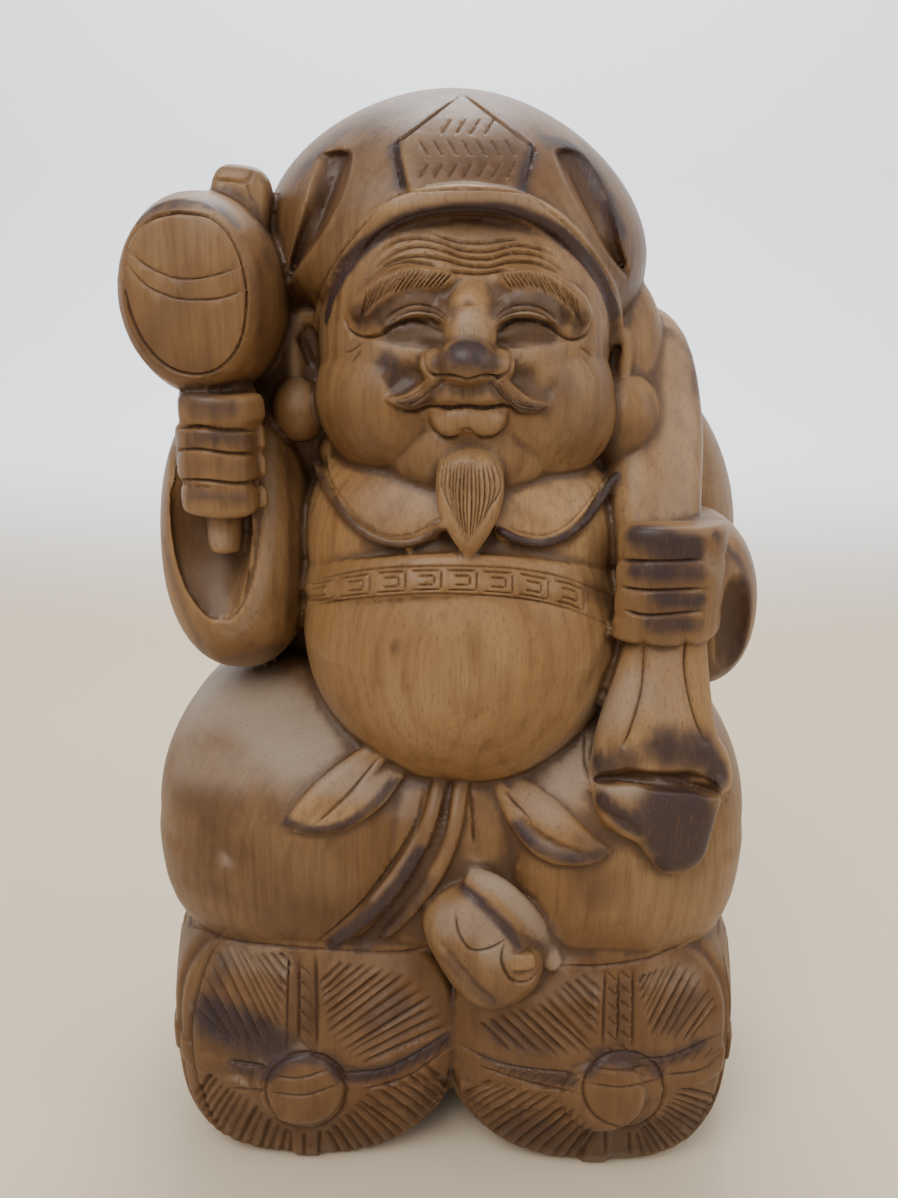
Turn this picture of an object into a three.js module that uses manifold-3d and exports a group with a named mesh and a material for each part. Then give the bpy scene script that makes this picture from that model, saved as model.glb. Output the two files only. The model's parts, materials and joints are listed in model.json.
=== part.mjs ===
// A carved wooden figure of Daikoku, the god of good harvests, standing on two rice bales.
// He lifts a mallet in his right hand and holds the neck of a sack with his left.
// The whole work is one block of wood. Millimetres, +Z up, the figure faces -Y, and the
// origin is on the floor under the middle of the block.

import * as THREE from "three";
import { mergeVertices } from "three/addons/utils/BufferGeometryUtils.js";
import Module from "manifold-3d";

const wasm = await Module();
wasm.setup();

// Driving dimensions.
const HEIGHT = 758; // floor to the crown of the cap
const BALE_WIDTH = 224; // left to right
const BALES_PRESSED = 4; // how far each bale is pressed into the other
const BALE_LENGTH = 304; // front to back
const BALE_RISE = 108; // from a bale's middle to its top
const BALE_DROP = 120; // from a bale's middle to its underside, before that is planed
const BALE_PLANED = 12; // taken off the underside of each bale, to stand on
const BALE_TOE_IN = 10; // how far the front of each bale leans in to the other
const BALE_BAND = 20; // width of the straw bands round a bale
const BALE_BAND_RAISED = 3;
const BALE_BAND_RISE = 0.16; // how far the level band climbs, for each step outwards
const BOSS_WIDTH = 60; // the disc on the front of a bale, where its bands meet
const BOSS_RAISED = 6; // past the front of the bale
const BOSS_BELOW = 26; // from a bale's middle down to the middle of its boss
const TROUSERS_SETTLE = 36; // how far the trousers hang over the tops of the bales
const BELT_HEIGHT = 26;
const BELT_RAISED = 4; // how far the belt stands out from the robe
const BELT_LEAN = THREE.MathUtils.degToRad(28);
const COLLAR_RAISED = 6;
const MALLET_LENGTH = 118;
const MALLET_WIDTH = 78; // across the flat end of the mallet
const MALLET_HEIGHT = 96; // of the flat end
const MALLET_BULGE = 9; // how far its middle swells past its ends
const MALLET_RIM = 3; // how far its flat end is sunk inside its rim
const HANDLE_WIDTH = 28;
const CREST_WIDTH = 82;
const CREST_RAISED = 6;

// The figure above the bales is drawn on a canon: places and sizes are given as on a drawing
// of a figure whose hem is at 180 and whose crown is at 758, and grow with the real height.
const CANON_HEM = 180;
const CANON_CROWN = 758;
const BALE_MIDDLE = BALE_DROP - BALE_PLANED;
const HEM = BALE_MIDDLE + BALE_RISE - TROUSERS_SETTLE;
const SHARE = (HEIGHT - HEM) / (CANON_CROWN - CANON_HEM);
const place = (x, y, z) => new THREE.Vector3(x * SHARE, y * SHARE, HEM + (z - CANON_HEM) * SHARE);
const FRONT = new THREE.Vector3(0, -1, 0);
const FAR = 400; // past any part of the figure

// A closed geometry as a solid that can be joined and cut.
function solid(geometry) {
  const bare = new THREE.BufferGeometry();
  bare.setAttribute("position", geometry.getAttribute("position"));
  const count = geometry.getAttribute("position").count;
  bare.setIndex(geometry.index ?? [...Array(count).keys()]);
  const merged = mergeVertices(bare, 1e-3);
  const corners = merged.index.array;
  const faces = [];
  for (let i = 0; i < corners.length; i += 3) {
    const [a, b, c] = [corners[i], corners[i + 1], corners[i + 2]];
    if (a !== b && b !== c && c !== a) faces.push(a, b, c);
  }
  return new wasm.Manifold(
    new wasm.Mesh({
      numProp: 3,
      vertProperties: merged.attributes.position.array,
      triVerts: new Uint32Array(faces),
    }),
  );
}

const join = (...solids) => wasm.Manifold.union(solids);

// A ball pulled to a rounded mass, with its half sizes to the sides, front, top and bottom.
// full holds how square it is across its poles and along them, where 2 is an ellipsoid, and
// low holds the same for its lower half. The poles are up and down, or front and back where
// it is lying. Real sizes are in millimetres, with grow added all round.
function shapedBall(middle, half, options = {}) {
  const { full = [2, 2], low = full, lying = false, turn = [0, 0, 0], mesh = [16, 10], grow = 0 } = options;
  const ball = new THREE.SphereGeometry(1, ...mesh);
  if (!lying) ball.rotateX(Math.PI / 2);
  const angles = new THREE.Euler(...turn.map(THREE.MathUtils.degToRad));
  const spot = ball.getAttribute("position");
  const v = new THREE.Vector3();
  for (let i = 0; i < spot.count; i++) {
    v.fromBufferAttribute(spot, i);
    const [x, y, z] = [Math.abs(v.x), Math.abs(v.y), Math.abs(v.z)];
    const [square, ends] = v.z < 0 ? low : full;
    const [u, w, p] = lying ? [x, z, y] : [x, y, z];
    const ring = (u ** square + w ** square) ** (1 / square);
    v.multiplyScalar((ring ** ends + p ** ends) ** (-1 / ends));
    const tall = v.z < 0 ? (half[3] ?? half[2]) : half[2];
    v.set(v.x * (half[0] + grow), v.y * (half[1] + grow), v.z * (tall + grow));
    v.applyEuler(angles).add(middle);
    spot.setXYZ(i, v.x, v.y, v.z);
  }
  return solid(ball);
}

// The same, with its middle and half sizes on the canon.
const mass = (middle, half, options) =>
  shapedBall(place(...middle), half.map((size) => size * SHARE), options);

// A roll along a curve on the canon. Each station is x, y, z, its half width across the view,
// and its half depth towards the viewer. The ends are round, and blunter as blunt grows.
function roll(stations, options = {}) {
  const { mesh = [8, 8], blunt = 3, square = 2, facing = FRONT } = options;
  const path = new THREE.CatmullRomCurve3(
    stations.map(([x, y, z]) => place(x, y, z)), false, "catmullrom", 0.5);
  const girth = new THREE.CatmullRomCurve3(
    stations.map(([, , , wide, deep]) => new THREE.Vector3(wide * SHARE, deep * SHARE, 0)),
    false, "catmullrom", 0.5);
  const ball = new THREE.SphereGeometry(1, ...mesh);
  const spot = ball.getAttribute("position");
  const v = new THREE.Vector3();
  for (let i = 0; i < spot.count; i++) {
    v.fromBufferAttribute(spot, i);
    const along = THREE.MathUtils.clamp(v.y, -1, 1);
    const t = (1 - along) / 2;
    const taper = (1 - Math.abs(along) ** blunt) ** (1 / blunt);
    const angle = Math.atan2(v.z, v.x);
    const [c, s] = [Math.cos(angle), Math.sin(angle)];
    const reach = (Math.abs(c) ** square + Math.abs(s) ** square) ** (-1 / square);
    const run = path.getTangent(t);
    const across = new THREE.Vector3().crossVectors(facing, run).normalize();
    const out = new THREE.Vector3().crossVectors(run, across).normalize();
    const size = girth.getPoint(t);
    const middle = path.getPoint(t);
    middle.addScaledVector(across, size.x * taper * reach * c);
    middle.addScaledVector(out, size.y * taper * reach * s);
    spot.setXYZ(i, middle.x, middle.y, middle.z);
  }
  return solid(ball);
}

// An outline seen from the front, of x and z pairs in millimetres, cut through all depths in
// front of the plane at far.
function cutter(outline, far) {
  const shape = new THREE.Shape(outline.map(([x, z]) => new THREE.Vector2(x, z)));
  const made = new THREE.ExtrudeGeometry(shape, { depth: FAR + far, bevelEnabled: false });
  made.rotateX(Math.PI / 2);
  made.translate(0, far, 0);
  return solid(made);
}

// An outline drawn on the canon, smoothed through its points where smooth gives a count.
function canonCutter(outline, far, smooth = 0) {
  const spots = outline.map(([x, z]) => place(x, 0, z)).map((p) => new THREE.Vector2(p.x, p.z));
  const drawn = smooth ? new THREE.SplineCurve([...spots, spots[0]]).getPoints(smooth).slice(0, -1) : spots;
  return cutter(drawn.map((p) => [p.x, p.y]), place(0, far, 0).y);
}

// A straw bale lies front to back: a domed end, a step, and a long squarish roll. The profile
// holds shares of its half width and half length.
const BALE_PROFILE = [
  [0, -1], [0.45, -0.975], [0.75, -0.92], [0.885, -0.85], [0.905, -0.79], [0.95, -0.76],
  [1, -0.4], [1, 0.4], [0.95, 0.76], [0.8, 0.9], [0, 1],
];
const baleX = (side) => side * (BALE_WIDTH / 2 - BALES_PRESSED);
function baleRoll(side, grow = 0) {
  const profile = BALE_PROFILE.map(([r, y]) => new THREE.Vector2(r, (y * BALE_LENGTH) / 2));
  const roll = new THREE.LatheGeometry(profile, 16);
  const spot = roll.getAttribute("position");
  for (let i = 0; i < spot.count; i++) {
    const [x, y, z] = [spot.getX(i), spot.getY(i), spot.getZ(i)];
    const outer = x * side > 0;
    const square = z > 0 ? 2.7 : outer ? 3.3 : 2.25;
    const angle = Math.atan2(z, x);
    const reach = (Math.abs(Math.cos(angle)) ** square + Math.abs(Math.sin(angle)) ** square) ** (-1 / square);
    const tall = z < 0 ? BALE_DROP : BALE_RISE;
    const toeIn = BALE_TOE_IN * THREE.MathUtils.smoothstep(-y / BALE_LENGTH, 0.1, 0.4);
    spot.setXYZ(
      i,
      baleX(side) - side * toeIn + x * reach * (BALE_WIDTH / 2 + grow),
      y * (1 + grow / (BALE_LENGTH / 2)),
      BALE_MIDDLE + z * reach * (tall + grow),
    );
  }
  return solid(roll);
}

// The bands of a bale are strips of a slightly larger roll, and meet under a round boss.
function bale(side) {
  const x = baleX(side);
  const z = BALE_MIDDLE - BOSS_BELOW;
  const wide = BALE_BAND / 2;
  const upright = cutter([[x - wide, -FAR], [x + wide, -FAR], [x + wide, FAR], [x - wide, FAR]], 0);
  const slope = side * BALE_BAND_RISE;
  const reach = BALE_WIDTH / 2 - BALE_BAND / 2;
  const level = cutter([
    [x - reach, z - slope * reach - wide], [x + reach, z + slope * reach - wide],
    [x + reach, z + slope * reach + wide], [x - reach, z - slope * reach + wide],
  ], 0);
  const bands = baleRoll(side, BALE_BAND_RAISED).intersect(join(upright, level));
  const boss = shapedBall(
    new THREE.Vector3(x, -BALE_LENGTH / 2 + BOSS_RAISED, z),
    [BOSS_WIDTH / 2, 2 * BOSS_RAISED, BOSS_WIDTH / 2], { lying: true, full: [2, 3], mesh: [12, 4] });
  return join(baleRoll(side), bands, boss);
}

// Two full trouser legs hang over the bales, with the drape of the cloth between them.
function trousers() {
  const wide = { full: [2.6, 2.1], low: [2.8, 3.2], mesh: [16, 9] };
  const rightLeg = mass([-107, -8, 262], [118, 142, 112, 108], wide);
  const leftLeg = mass([109, -8, 262], [107, 142, 112, 112], wide);
  const lap = mass([-10, -10, 250], [96, 132, 100, 100], { full: [2.6, 2.4], low: [3, 3.2], mesh: [12, 8] });
  const hem = roll([
    [-16, -130, 318, 9, 9], [-22, -142, 285, 11, 10], [-38, -147, 250, 12, 10],
    [-62, -144, 212, 13, 10], [-90, -134, 184, 11, 9],
  ], { mesh: [6, 6] });
  const fold = roll([
    [2, -130, 318, 7, 8], [-3, -142, 282, 9, 8], [-14, -146, 248, 11, 8], [-38, -141, 200, 13, 8],
  ], { mesh: [6, 6] });
  return join(rightLeg, leftLeg, lap, hem, fold);
}

// The ends of the sash come out from under the belly like leaves.
function sash() {
  const leaves = [
    [[-52, -118, 352, 11, 8], [-82, -138, 324, 15, 9], [-114, -136, 288, 6, 7]],
    [[-36, -126, 336, 11, 8], [-62, -143, 308, 15, 10], [-98, -140, 282, 6, 7]],
    [[30, -128, 330, 7, 8], [40, -144, 300, 10, 9], [64, -147, 278, 11, 9], [99, -140, 272, 5, 6]],
    [[46, -126, 330, 9, 8], [68, -145, 304, 12, 10], [100, -140, 280, 5, 6]],
  ];
  return join(...leaves.map((stations) => roll(stations, { mesh: [6, 6] })));
}

// The toe of his left shoe and the rolled cuff above it.
function shoe() {
  return join(
    mass([20, -134, 200], [35, 36, 50], { full: [2.4, 2.8], turn: [0, -28, 0], mesh: [10, 6] }),
    mass([45, -144, 187], [17, 24, 20], { mesh: [8, 5] }),
    roll([[4, -140, 264, 11, 12], [31, -154, 244, 12, 14], [56, -152, 215, 11, 14], [73, -140, 182, 9, 12]],
      { mesh: [8, 5] }),
  );
}

// The bare belly, the chest and the back under the robe.
const BELLY = [[1, -46, 400], [111, 121, 118, 120]];
const CHEST = [[0, -20, 466], [110, 116, 84]];
const belly = (grow) => mass(...BELLY, { full: [2.2, 2.1], low: [2.1, 1.9], mesh: [16, 10], grow });
const chest = (grow) => mass(...CHEST, { full: [3, 2.2], mesh: [14, 8], grow });

function torso() {
  const back = mass([-4, 42, 438], [158, 108, 150, 130], { full: [2.4, 2.6], mesh: [12, 7] });
  const nape = mass([0, 44, 600], [84, 66, 70], { mesh: [8, 5] });
  const neck = mass([0, -34, 528], [88, 72, 40], { mesh: [10, 5] });
  return join(belly(0), chest(0), back, nape, neck);
}

// The belt lies round the belly, leans back with it, and droops towards its sides.
function belt() {
  const steps = 8;
  const wide = BELT_HEIGHT / 2 / SHARE;
  const stations = [...Array(steps + 1).keys()].map((i) => {
    const angle = THREE.MathUtils.degToRad(-80 + (160 * i) / steps);
    const [s, c] = [Math.sin(angle), Math.cos(angle)];
    const reach = (Math.abs(s) ** 2.4 + c ** 2.4) ** (-1 / 2.4);
    return [99 * s * reach, -36 - 107 * c * reach - BELT_RAISED, 461 - 25 * s * s, wide, 14];
  });
  const back = new THREE.Vector3(0, -Math.cos(BELT_LEAN), Math.sin(BELT_LEAN));
  return roll(stations, { facing: back, square: 5, blunt: 12, mesh: [8, 12] });
}

// A collar of two petals.
function collar() {
  const right = [[-108, 560], [-98, 532], [-84, 512], [-66, 489], [-47, 478], [-28, 479], [-8, 494], [-20, 560]];
  const left = [[106, 545], [97, 516], [87, 506], [73, 492], [55, 481], [36, 481], [20, 491], [24, 560]];
  const grown = chest(COLLAR_RAISED);
  return join(
    grown.intersect(canonCutter(right, -40, 12)),
    grown.intersect(canonCutter(left, -40, 12)),
  );
}

// His right arm: a wide sleeve, open in front, with the fist and the mallet's handle in it.
function rightArm() {
  const sleeve = join(
    mass([-154, -46, 460], [52, 76, 108, 92], { full: [2.4, 2.2], mesh: [12, 8] }),
    mass([-112, -6, 572], [52, 64, 98], { mesh: [10, 6] }),
  );
  const hollow = roll([
    [-152, -112, 600, 26, 30], [-160, -118, 520, 29, 30], [-161, -120, 470, 27, 30], [-157, -118, 416, 20, 22],
  ], { mesh: [8, 7] });
  const palm = mass([-146, -102, 532], [27, 30, 42], { full: [3, 2.6], mesh: [8, 6] });
  const wrist = roll([[-146, -92, 520, 20, 20], [-140, -60, 480, 22, 22]], { mesh: [6, 4] });
  const fingers = [557, 540, 522, 504].map((z, i) => roll([
    [-173 + i, -112, z, 8, 12], [-162, -127, z, 10, 14], [-134, -127, z - 1, 10, 14], [-119, -112, z, 8, 12],
  ], { square: 3, blunt: 6, mesh: [8, 4] }));
  return join(sleeve.subtract(hollow), palm, wrist, ...fingers);
}

// The mallet: an oval barrel that points forwards, on a handle that comes out above it.
function mallet() {
  const half = MALLET_LENGTH / 2;
  const swell = 1 + MALLET_BULGE / (MALLET_HEIGHT / 2);
  const profile = [
    [0, -half + MALLET_RIM], [0.9, -half + MALLET_RIM], [0.93, -half], [1.02, -half], [swell * 0.96, -half * 0.5],
    [swell, 0], [swell * 0.96, half * 0.5], [1.02, half], [0, half],
  ].map(([r, y]) => new THREE.Vector2(r, y));
  const head = new THREE.LatheGeometry(profile, 14);
  head.scale(MALLET_WIDTH / 2, 1, MALLET_HEIGHT / 2);
  const middle = place(-159, -82, 623);
  head.translate(middle.x, middle.y, middle.z);
  const wide = HANDLE_WIDTH / 2 / SHARE;
  const handle = roll(
    [[-147, -84, 640, wide, wide], [-149, -100, 550, wide, 1.7 * wide], [-152, -110, 464, wide, 1.7 * wide]],
    { blunt: 10, mesh: [8, 6] });
  const knob = mass([-141, -72, 676], [18, 15, 26], { full: [3, 2.6], mesh: [8, 5] });
  return join(solid(head), handle, knob);
}

// His left arm: the sleeve behind, and four fingers round the neck of the sack.
function leftArm() {
  const sleeve = mass([168, -30, 420], [43, 72, 64], { full: [2.4, 2.2], mesh: [12, 8] });
  const opening = mass([186, -108, 414], [16, 26, 50], { mesh: [8, 6] });
  const shoulder = mass([112, 4, 540], [56, 66, 90], { mesh: [10, 6] });
  const knuckles = mass([146, -88, 452], [21, 36, 40], { full: [3, 2.6], mesh: [8, 6] });
  const fingers = [[479, 12], [457, 11], [440, 9.5], [425, 9]].map(([z, tall]) => roll([
    [100, -122, z, tall, 12], [122, -131, z + 1, tall + 1, 14], [148, -122, z, tall + 1, 14], [164, -98, z, tall, 12],
  ], { square: 3, blunt: 6, mesh: [8, 4] }));
  return join(sleeve.subtract(opening), shoulder, knuckles, ...fingers);
}

// The sack hangs down his back. Its neck comes over the shoulder, passes through his hand and
// opens below it in a wavy mouth with one corner hanging down.
function sack() {
  const bulk = mass([85, 77, 440], [140, 92, 158, 120], { full: [2.4, 2], mesh: [14, 9] });
  const neck = roll([
    [122, 10, 604, 20, 20], [131, -24, 584, 25, 26], [133, -52, 545, 28, 26], [131, -74, 508, 27, 24],
    [130, -94, 470, 26, 22], [133, -106, 432, 27, 22], [134, -118, 402, 31, 20], [131, -126, 372, 41, 20],
    [133, -130, 346, 50, 20], [134, -130, 322, 50, 18],
  ], { mesh: [8, 10], blunt: 8 });
  const corner = roll([
    [132, -128, 334, 49, 24], [134, -136, 316, 46, 26], [138, -146, 300, 30, 17], [141, -151, 282, 20, 12],
    [142, -150, 262, 8, 9],
  ], { mesh: [8, 7], blunt: 5 });
  const mouth = roll([
    [78, -150, 322, 3, 20], [106, -160, 331, 4, 18], [134, -160, 327, 5, 18], [160, -158, 327, 4, 18],
    [188, -140, 314, 3, 20],
  ], { mesh: [6, 8] });
  return join(bulk, neck, corner).subtract(mouth);
}

// The head: full cheeks, a ball of a nose, a drooping moustache, a small beard and long ears.
function head() {
  const skull = mass([0, -40, 588], [95, 100, 110, 80], { full: [2.8, 2.6], low: [2.6, 2.2], mesh: [14, 9] });
  const both = (make) => join(make(-1), make(1));
  const sockets = both((s) => mass([3 + s * 36, -147, 611], [29, 17, 15], { turn: [0, s * 8, 0], mesh: [8, 5] }));
  const cheeks = both((s) => mass([1 + s * 42, -78, 564], [54, 62, 54], { mesh: [10, 7] }));
  const chin = mass([4, -90, 536], [54, 50, 35], { mesh: [10, 6] });
  const muzzle = mass([4, -112, 565], [38, 38, 28], { mesh: [9, 5] });
  const bridge = roll([[3, -122, 640, 10, 12], [3, -134, 612, 11, 16], [3, -148, 592, 16, 20]], { mesh: [6, 4] });
  const ball = mass([3, -152, 589], [17, 18, 13], { mesh: [8, 6] });
  const wings = both((s) => mass([3 + s * 20, -143, 588], [11, 13, 10], { mesh: [6, 5] }));
  const lids = both((s) => roll([
    [3 + s * 12, -126, 607, 4, 8], [3 + s * 32, -133, 613, 6, 10], [3 + s * 54, -122, 605, 4, 8],
  ], { mesh: [6, 5] }));
  const brows = both((s) => roll([
    [3 + s * 8, -132, 635, 6, 8], [3 + s * 26, -137, 639, 8, 10], [3 + s * 46, -131, 631, 8, 10],
    [3 + s * 62, -117, 612, 6, 8],
  ], { mesh: [6, 5] }));
  const moustache = both((s) => roll([
    [3 + s * 6, -148, 580, 5, 7], [3 + s * 20, -148, 572, 6, 8], [3 + s * 34, -141, 566, 5, 7],
    [3 + s * 50, -130, 567, 3, 5],
  ], { mesh: [6, 5] }));
  const lips = join(
    roll([[-20, -140, 562, 3, 5], [4, -149, 566, 4, 6], [28, -140, 562, 3, 5]], { mesh: [6, 5] }),
    roll([[-16, -137, 561, 4, 6], [-5, -145, 556, 8, 9], [13, -145, 556, 8, 9], [24, -137, 561, 4, 6]], { mesh: [6, 5] }),
  );
  const beard = roll([
    [4, -128, 541, 20, 12], [5, -138, 524, 22, 15], [5, -145, 502, 16, 13], [5, -148, 478, 5, 7],
  ], { mesh: [8, 6], blunt: 2.4 });
  const ears = both((s) => join(
    roll([[3 + s * 90, -58, 604, 7, 9], [3 + s * 105, -56, 612, 9, 11], [3 + s * 109, -58, 588, 8, 12],
      [3 + s * 106, -62, 565, 9, 12]], { mesh: [6, 6] }),
    s < 0 ? mass([-108, -66, 555], [22, 22, 29], { mesh: [8, 6] }) : mass([107, -66, 546], [25, 24, 34], { mesh: [8, 6] }),
  ));
  const face = join(skull, cheeks, muzzle).subtract(sockets);
  return join(face, chin, bridge, ball, wings, lids, brows, moustache, lips, beard, ears);
}

// The cap: a full soft crown that leans to his left, gathered into a rolled brim, with a
// deep fold at each temple and a five-sided crest in front.
const crown = (grow) => mass([-6, 0, 660], [130, 128, 98, 56], {
  full: [2.2, 1.76], low: [2.2, 2.6], turn: [0, 5, 0], mesh: [17, 10], grow,
});

function cap() {
  const arch = [
    [-92, 520], [-92, 600], [-86, 622], [-76, 642], [-56, 660], [-34, 668], [0, 671], [34, 667],
    [62, 650], [80, 632], [92, 610], [94, 600], [94, 520],
  ];
  const folds = join(
    roll([[-60, -84, 728, 8, 16], [-80, -100, 694, 13, 24], [-98, -96, 660, 12, 22], [-115, -76, 620, 6, 18]],
      { mesh: [6, 6] }),
    roll([[50, -84, 728, 8, 16], [73, -100, 694, 13, 24], [91, -94, 662, 12, 22], [110, -72, 620, 6, 18]],
      { mesh: [6, 6] }),
  );
  const brim = roll([
    [-91, -72, 606, 7, 10], [-82, -96, 636, 8, 11], [-60, -114, 660, 8, 12], [-36, -124, 672, 8, 12],
    [0, -130, 677, 9, 12], [36, -124, 672, 8, 12], [62, -112, 655, 8, 12], [84, -96, 634, 8, 11],
    [96, -72, 606, 7, 10],
  ], { mesh: [6, 12], blunt: 6, square: 2.4 });
  return join(crown(0).subtract(canonCutter(arch, -30)).subtract(folds), brim, crest());
}

// The crest is a raised five-sided patch of the crown, seen from the front.
function crest() {
  const wide = CREST_WIDTH / 2 / SHARE;
  const outline = [[-wide * 0.82, 684], [wide * 0.82, 684], [wide, 713], [0, 748], [-wide, 713]];
  return crown(CREST_RAISED).intersect(canonCutter(outline, -30));
}

const carved = join(
  bale(-1), bale(1), trousers(), sash(), shoe(), torso(), belt(), collar(),
  rightArm(), mallet(), leftArm(), sack(), head(), cap(),
);

// Planed flat underneath.
const floor = solid(new THREE.BoxGeometry(2 * FAR, 2 * FAR, FAR).translate(0, 0, -FAR / 2));
const model = carved.subtract(floor);

function meshOf(made, name, colour) {
  const { vertProperties, triVerts, numProp } = made.getMesh();
  const points = new Float32Array((vertProperties.length / numProp) * 3);
  for (let i = 0; i < points.length / 3; i++) {
    points.set(vertProperties.subarray(i * numProp, i * numProp + 3), i * 3);
  }
  const geometry = new THREE.BufferGeometry();
  geometry.setAttribute("position", new THREE.BufferAttribute(points, 3));
  geometry.setIndex(new THREE.BufferAttribute(triVerts, 1));
  geometry.computeVertexNormals();
  const mesh = new THREE.Mesh(
    geometry,
    new THREE.MeshStandardMaterial({ color: colour, roughness: 0.55, metalness: 0, flatShading: true }),
  );
  mesh.name = name;
  return mesh;
}

const figure = new THREE.Group();
figure.add(meshOf(model, "daikoku_figure", 0x8a6242));
export default figure;
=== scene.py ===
# %% [markdown]
# # A carved wooden Daikoku, cell by cell
#
# The real object is one block of wood about three quarters of a metre tall. A carver has cut a
# smiling god of good harvests out of it, who stands on two straw bales with a mallet and a sack.
# The frame holds the same block as a plain faceted solid at its real size. This lesson makes the
# surface that a visitor sees: round forms, chisel cuts, stain, wax and grain. It goes as the
# carver does, from the big masses to the finest strokes, and the colour comes last.

# %% Open the frame
import json
import math

import bpy
import numpy as np
from mathutils import Matrix, Vector
from mathutils.bvhtree import BVHTree
from mathutils.kdtree import KDTree

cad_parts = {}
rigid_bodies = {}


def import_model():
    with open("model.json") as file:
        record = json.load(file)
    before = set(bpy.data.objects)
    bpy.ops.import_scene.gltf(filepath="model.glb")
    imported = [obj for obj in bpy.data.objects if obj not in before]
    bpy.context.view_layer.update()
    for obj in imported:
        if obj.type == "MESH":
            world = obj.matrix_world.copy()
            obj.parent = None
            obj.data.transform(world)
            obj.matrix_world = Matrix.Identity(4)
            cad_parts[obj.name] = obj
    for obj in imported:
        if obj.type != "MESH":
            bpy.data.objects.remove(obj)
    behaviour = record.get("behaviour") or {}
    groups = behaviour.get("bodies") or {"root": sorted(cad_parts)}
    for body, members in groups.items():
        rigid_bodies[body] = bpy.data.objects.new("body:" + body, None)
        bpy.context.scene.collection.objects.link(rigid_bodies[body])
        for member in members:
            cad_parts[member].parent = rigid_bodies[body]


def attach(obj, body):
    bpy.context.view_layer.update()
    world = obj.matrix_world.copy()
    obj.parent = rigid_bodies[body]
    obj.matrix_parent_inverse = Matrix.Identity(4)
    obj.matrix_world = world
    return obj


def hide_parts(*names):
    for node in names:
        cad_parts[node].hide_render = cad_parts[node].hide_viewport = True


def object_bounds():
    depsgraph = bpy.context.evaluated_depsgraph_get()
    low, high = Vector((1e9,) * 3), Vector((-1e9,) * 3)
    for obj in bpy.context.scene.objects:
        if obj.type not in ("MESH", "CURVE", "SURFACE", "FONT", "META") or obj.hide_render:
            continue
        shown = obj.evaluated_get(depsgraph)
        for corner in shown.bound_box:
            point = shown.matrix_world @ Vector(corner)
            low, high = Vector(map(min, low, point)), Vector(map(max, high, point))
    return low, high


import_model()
cad_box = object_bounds()
print("the block is", [round(high - low, 3) for low, high in zip(*cad_box)], "metres")

# %% [markdown]
# ## The camera
#
# The camera comes first, because many strokes are placed by where the photograph shows them. The
# floor strips in the picture gave its lens, height and tilt. A ray from the camera through a
# pixel then meets the block at the spot where the carver's tool went in.

# %% Set up the camera
PHOTO_WIDE, PHOTO_TALL = 898, 1198
PHOTO_MIDDLE = (PHOTO_WIDE / 2, PHOTO_TALL / 2)
FOCAL_PIXELS = 985
CAMERA_AT = (0.0, -0.727, 0.6185)
LOOKS_DOWN, LOOKS_LEFT, LEANS = (math.radians(angle) for angle in (16.46, 0.64, 0.8))
SENSOR = 36.0

bpy.ops.object.camera_add(location=CAMERA_AT)
camera = bpy.context.object
camera.data.sensor_width = SENSOR
camera.data.lens = SENSOR * FOCAL_PIXELS / PHOTO_TALL
camera.data.clip_start = 0.05
camera.matrix_world = (
    Matrix.Translation(CAMERA_AT)
    @ Matrix.Rotation(LOOKS_LEFT, 4, "Z")
    @ Matrix.Rotation(math.radians(90) - LOOKS_DOWN, 4, "X")
    @ Matrix.Rotation(LEANS, 4, "Z")
)
bpy.context.scene.camera = camera
print("lens", round(camera.data.lens, 1), "mm")

# %% [markdown]
# ## Maths on sockets
#
# A shader is a graph, but its arithmetic reads best as arithmetic. This class wraps a socket, so
# that an expression on wrapped sockets adds the Math nodes for it. Colours are mixed, because a
# Math node would turn them grey.

# %% A small class for shader maths
class Wire:
    """A socket of a node tree that takes part in expressions."""

    def __init__(self, tree, socket=None):
        self.tree, self.socket = tree, socket

    def node(self, kind, settings, values, output=0):
        """Add a node: its settings come first, then its inputs, by name or by number."""
        added = self.tree.nodes.new(kind)
        for key, value in settings.items():
            setattr(added, key, value)
        for key, value in values.items():
            if isinstance(value, Wire):
                self.tree.links.new(value.socket, added.inputs[key])
            else:
                added.inputs[key].default_value = value
        return Wire(self.tree, added.outputs[output])

    def maths(self, operation, first, second):
        return self.node("ShaderNodeMath", {"operation": operation}, {0: first, 1: second})

    def __add__(self, other):
        return self.maths("ADD", self, other)

    def __sub__(self, other):
        return self.maths("SUBTRACT", self, other)

    def __rsub__(self, other):
        return self.maths("SUBTRACT", other, self)

    def __mul__(self, other):
        return self.maths("MULTIPLY", self, other)

    __radd__, __rmul__ = __add__, __mul__

    def between(self, low, high):
        """0 below low, 1 above high, and a soft step between."""
        return self.node("ShaderNodeMapRange", {"interpolation_type": "SMOOTHSTEP"},
                         {0: self, 1: low, 2: high})

    def over(self, under, colour, how="MIX"):
        """This share of a colour over another."""
        return self.node("ShaderNodeMix", {"data_type": "RGBA", "blend_type": how},
                         {0: self, 6: under, 7: colour}, output=2)


print("a Wire also has", [name for name in vars(Wire) if not name.startswith("_")])

# %% [markdown]
# ## The room
#
# A pale floor that curves up into a pale wall keeps the eye on the wood. It is made from a plane:
# its back edge is extruded up, and a bevel rounds the fold so that no line shows.

# %% Build the floor and the lights
FLOOR_HALF, WALL_AT, WALL_HIGH, FOLD = 3.0, 1.6, 3.0, 0.9


def nothing_selected():
    bpy.ops.object.select_all(action="DESELECT")


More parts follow.
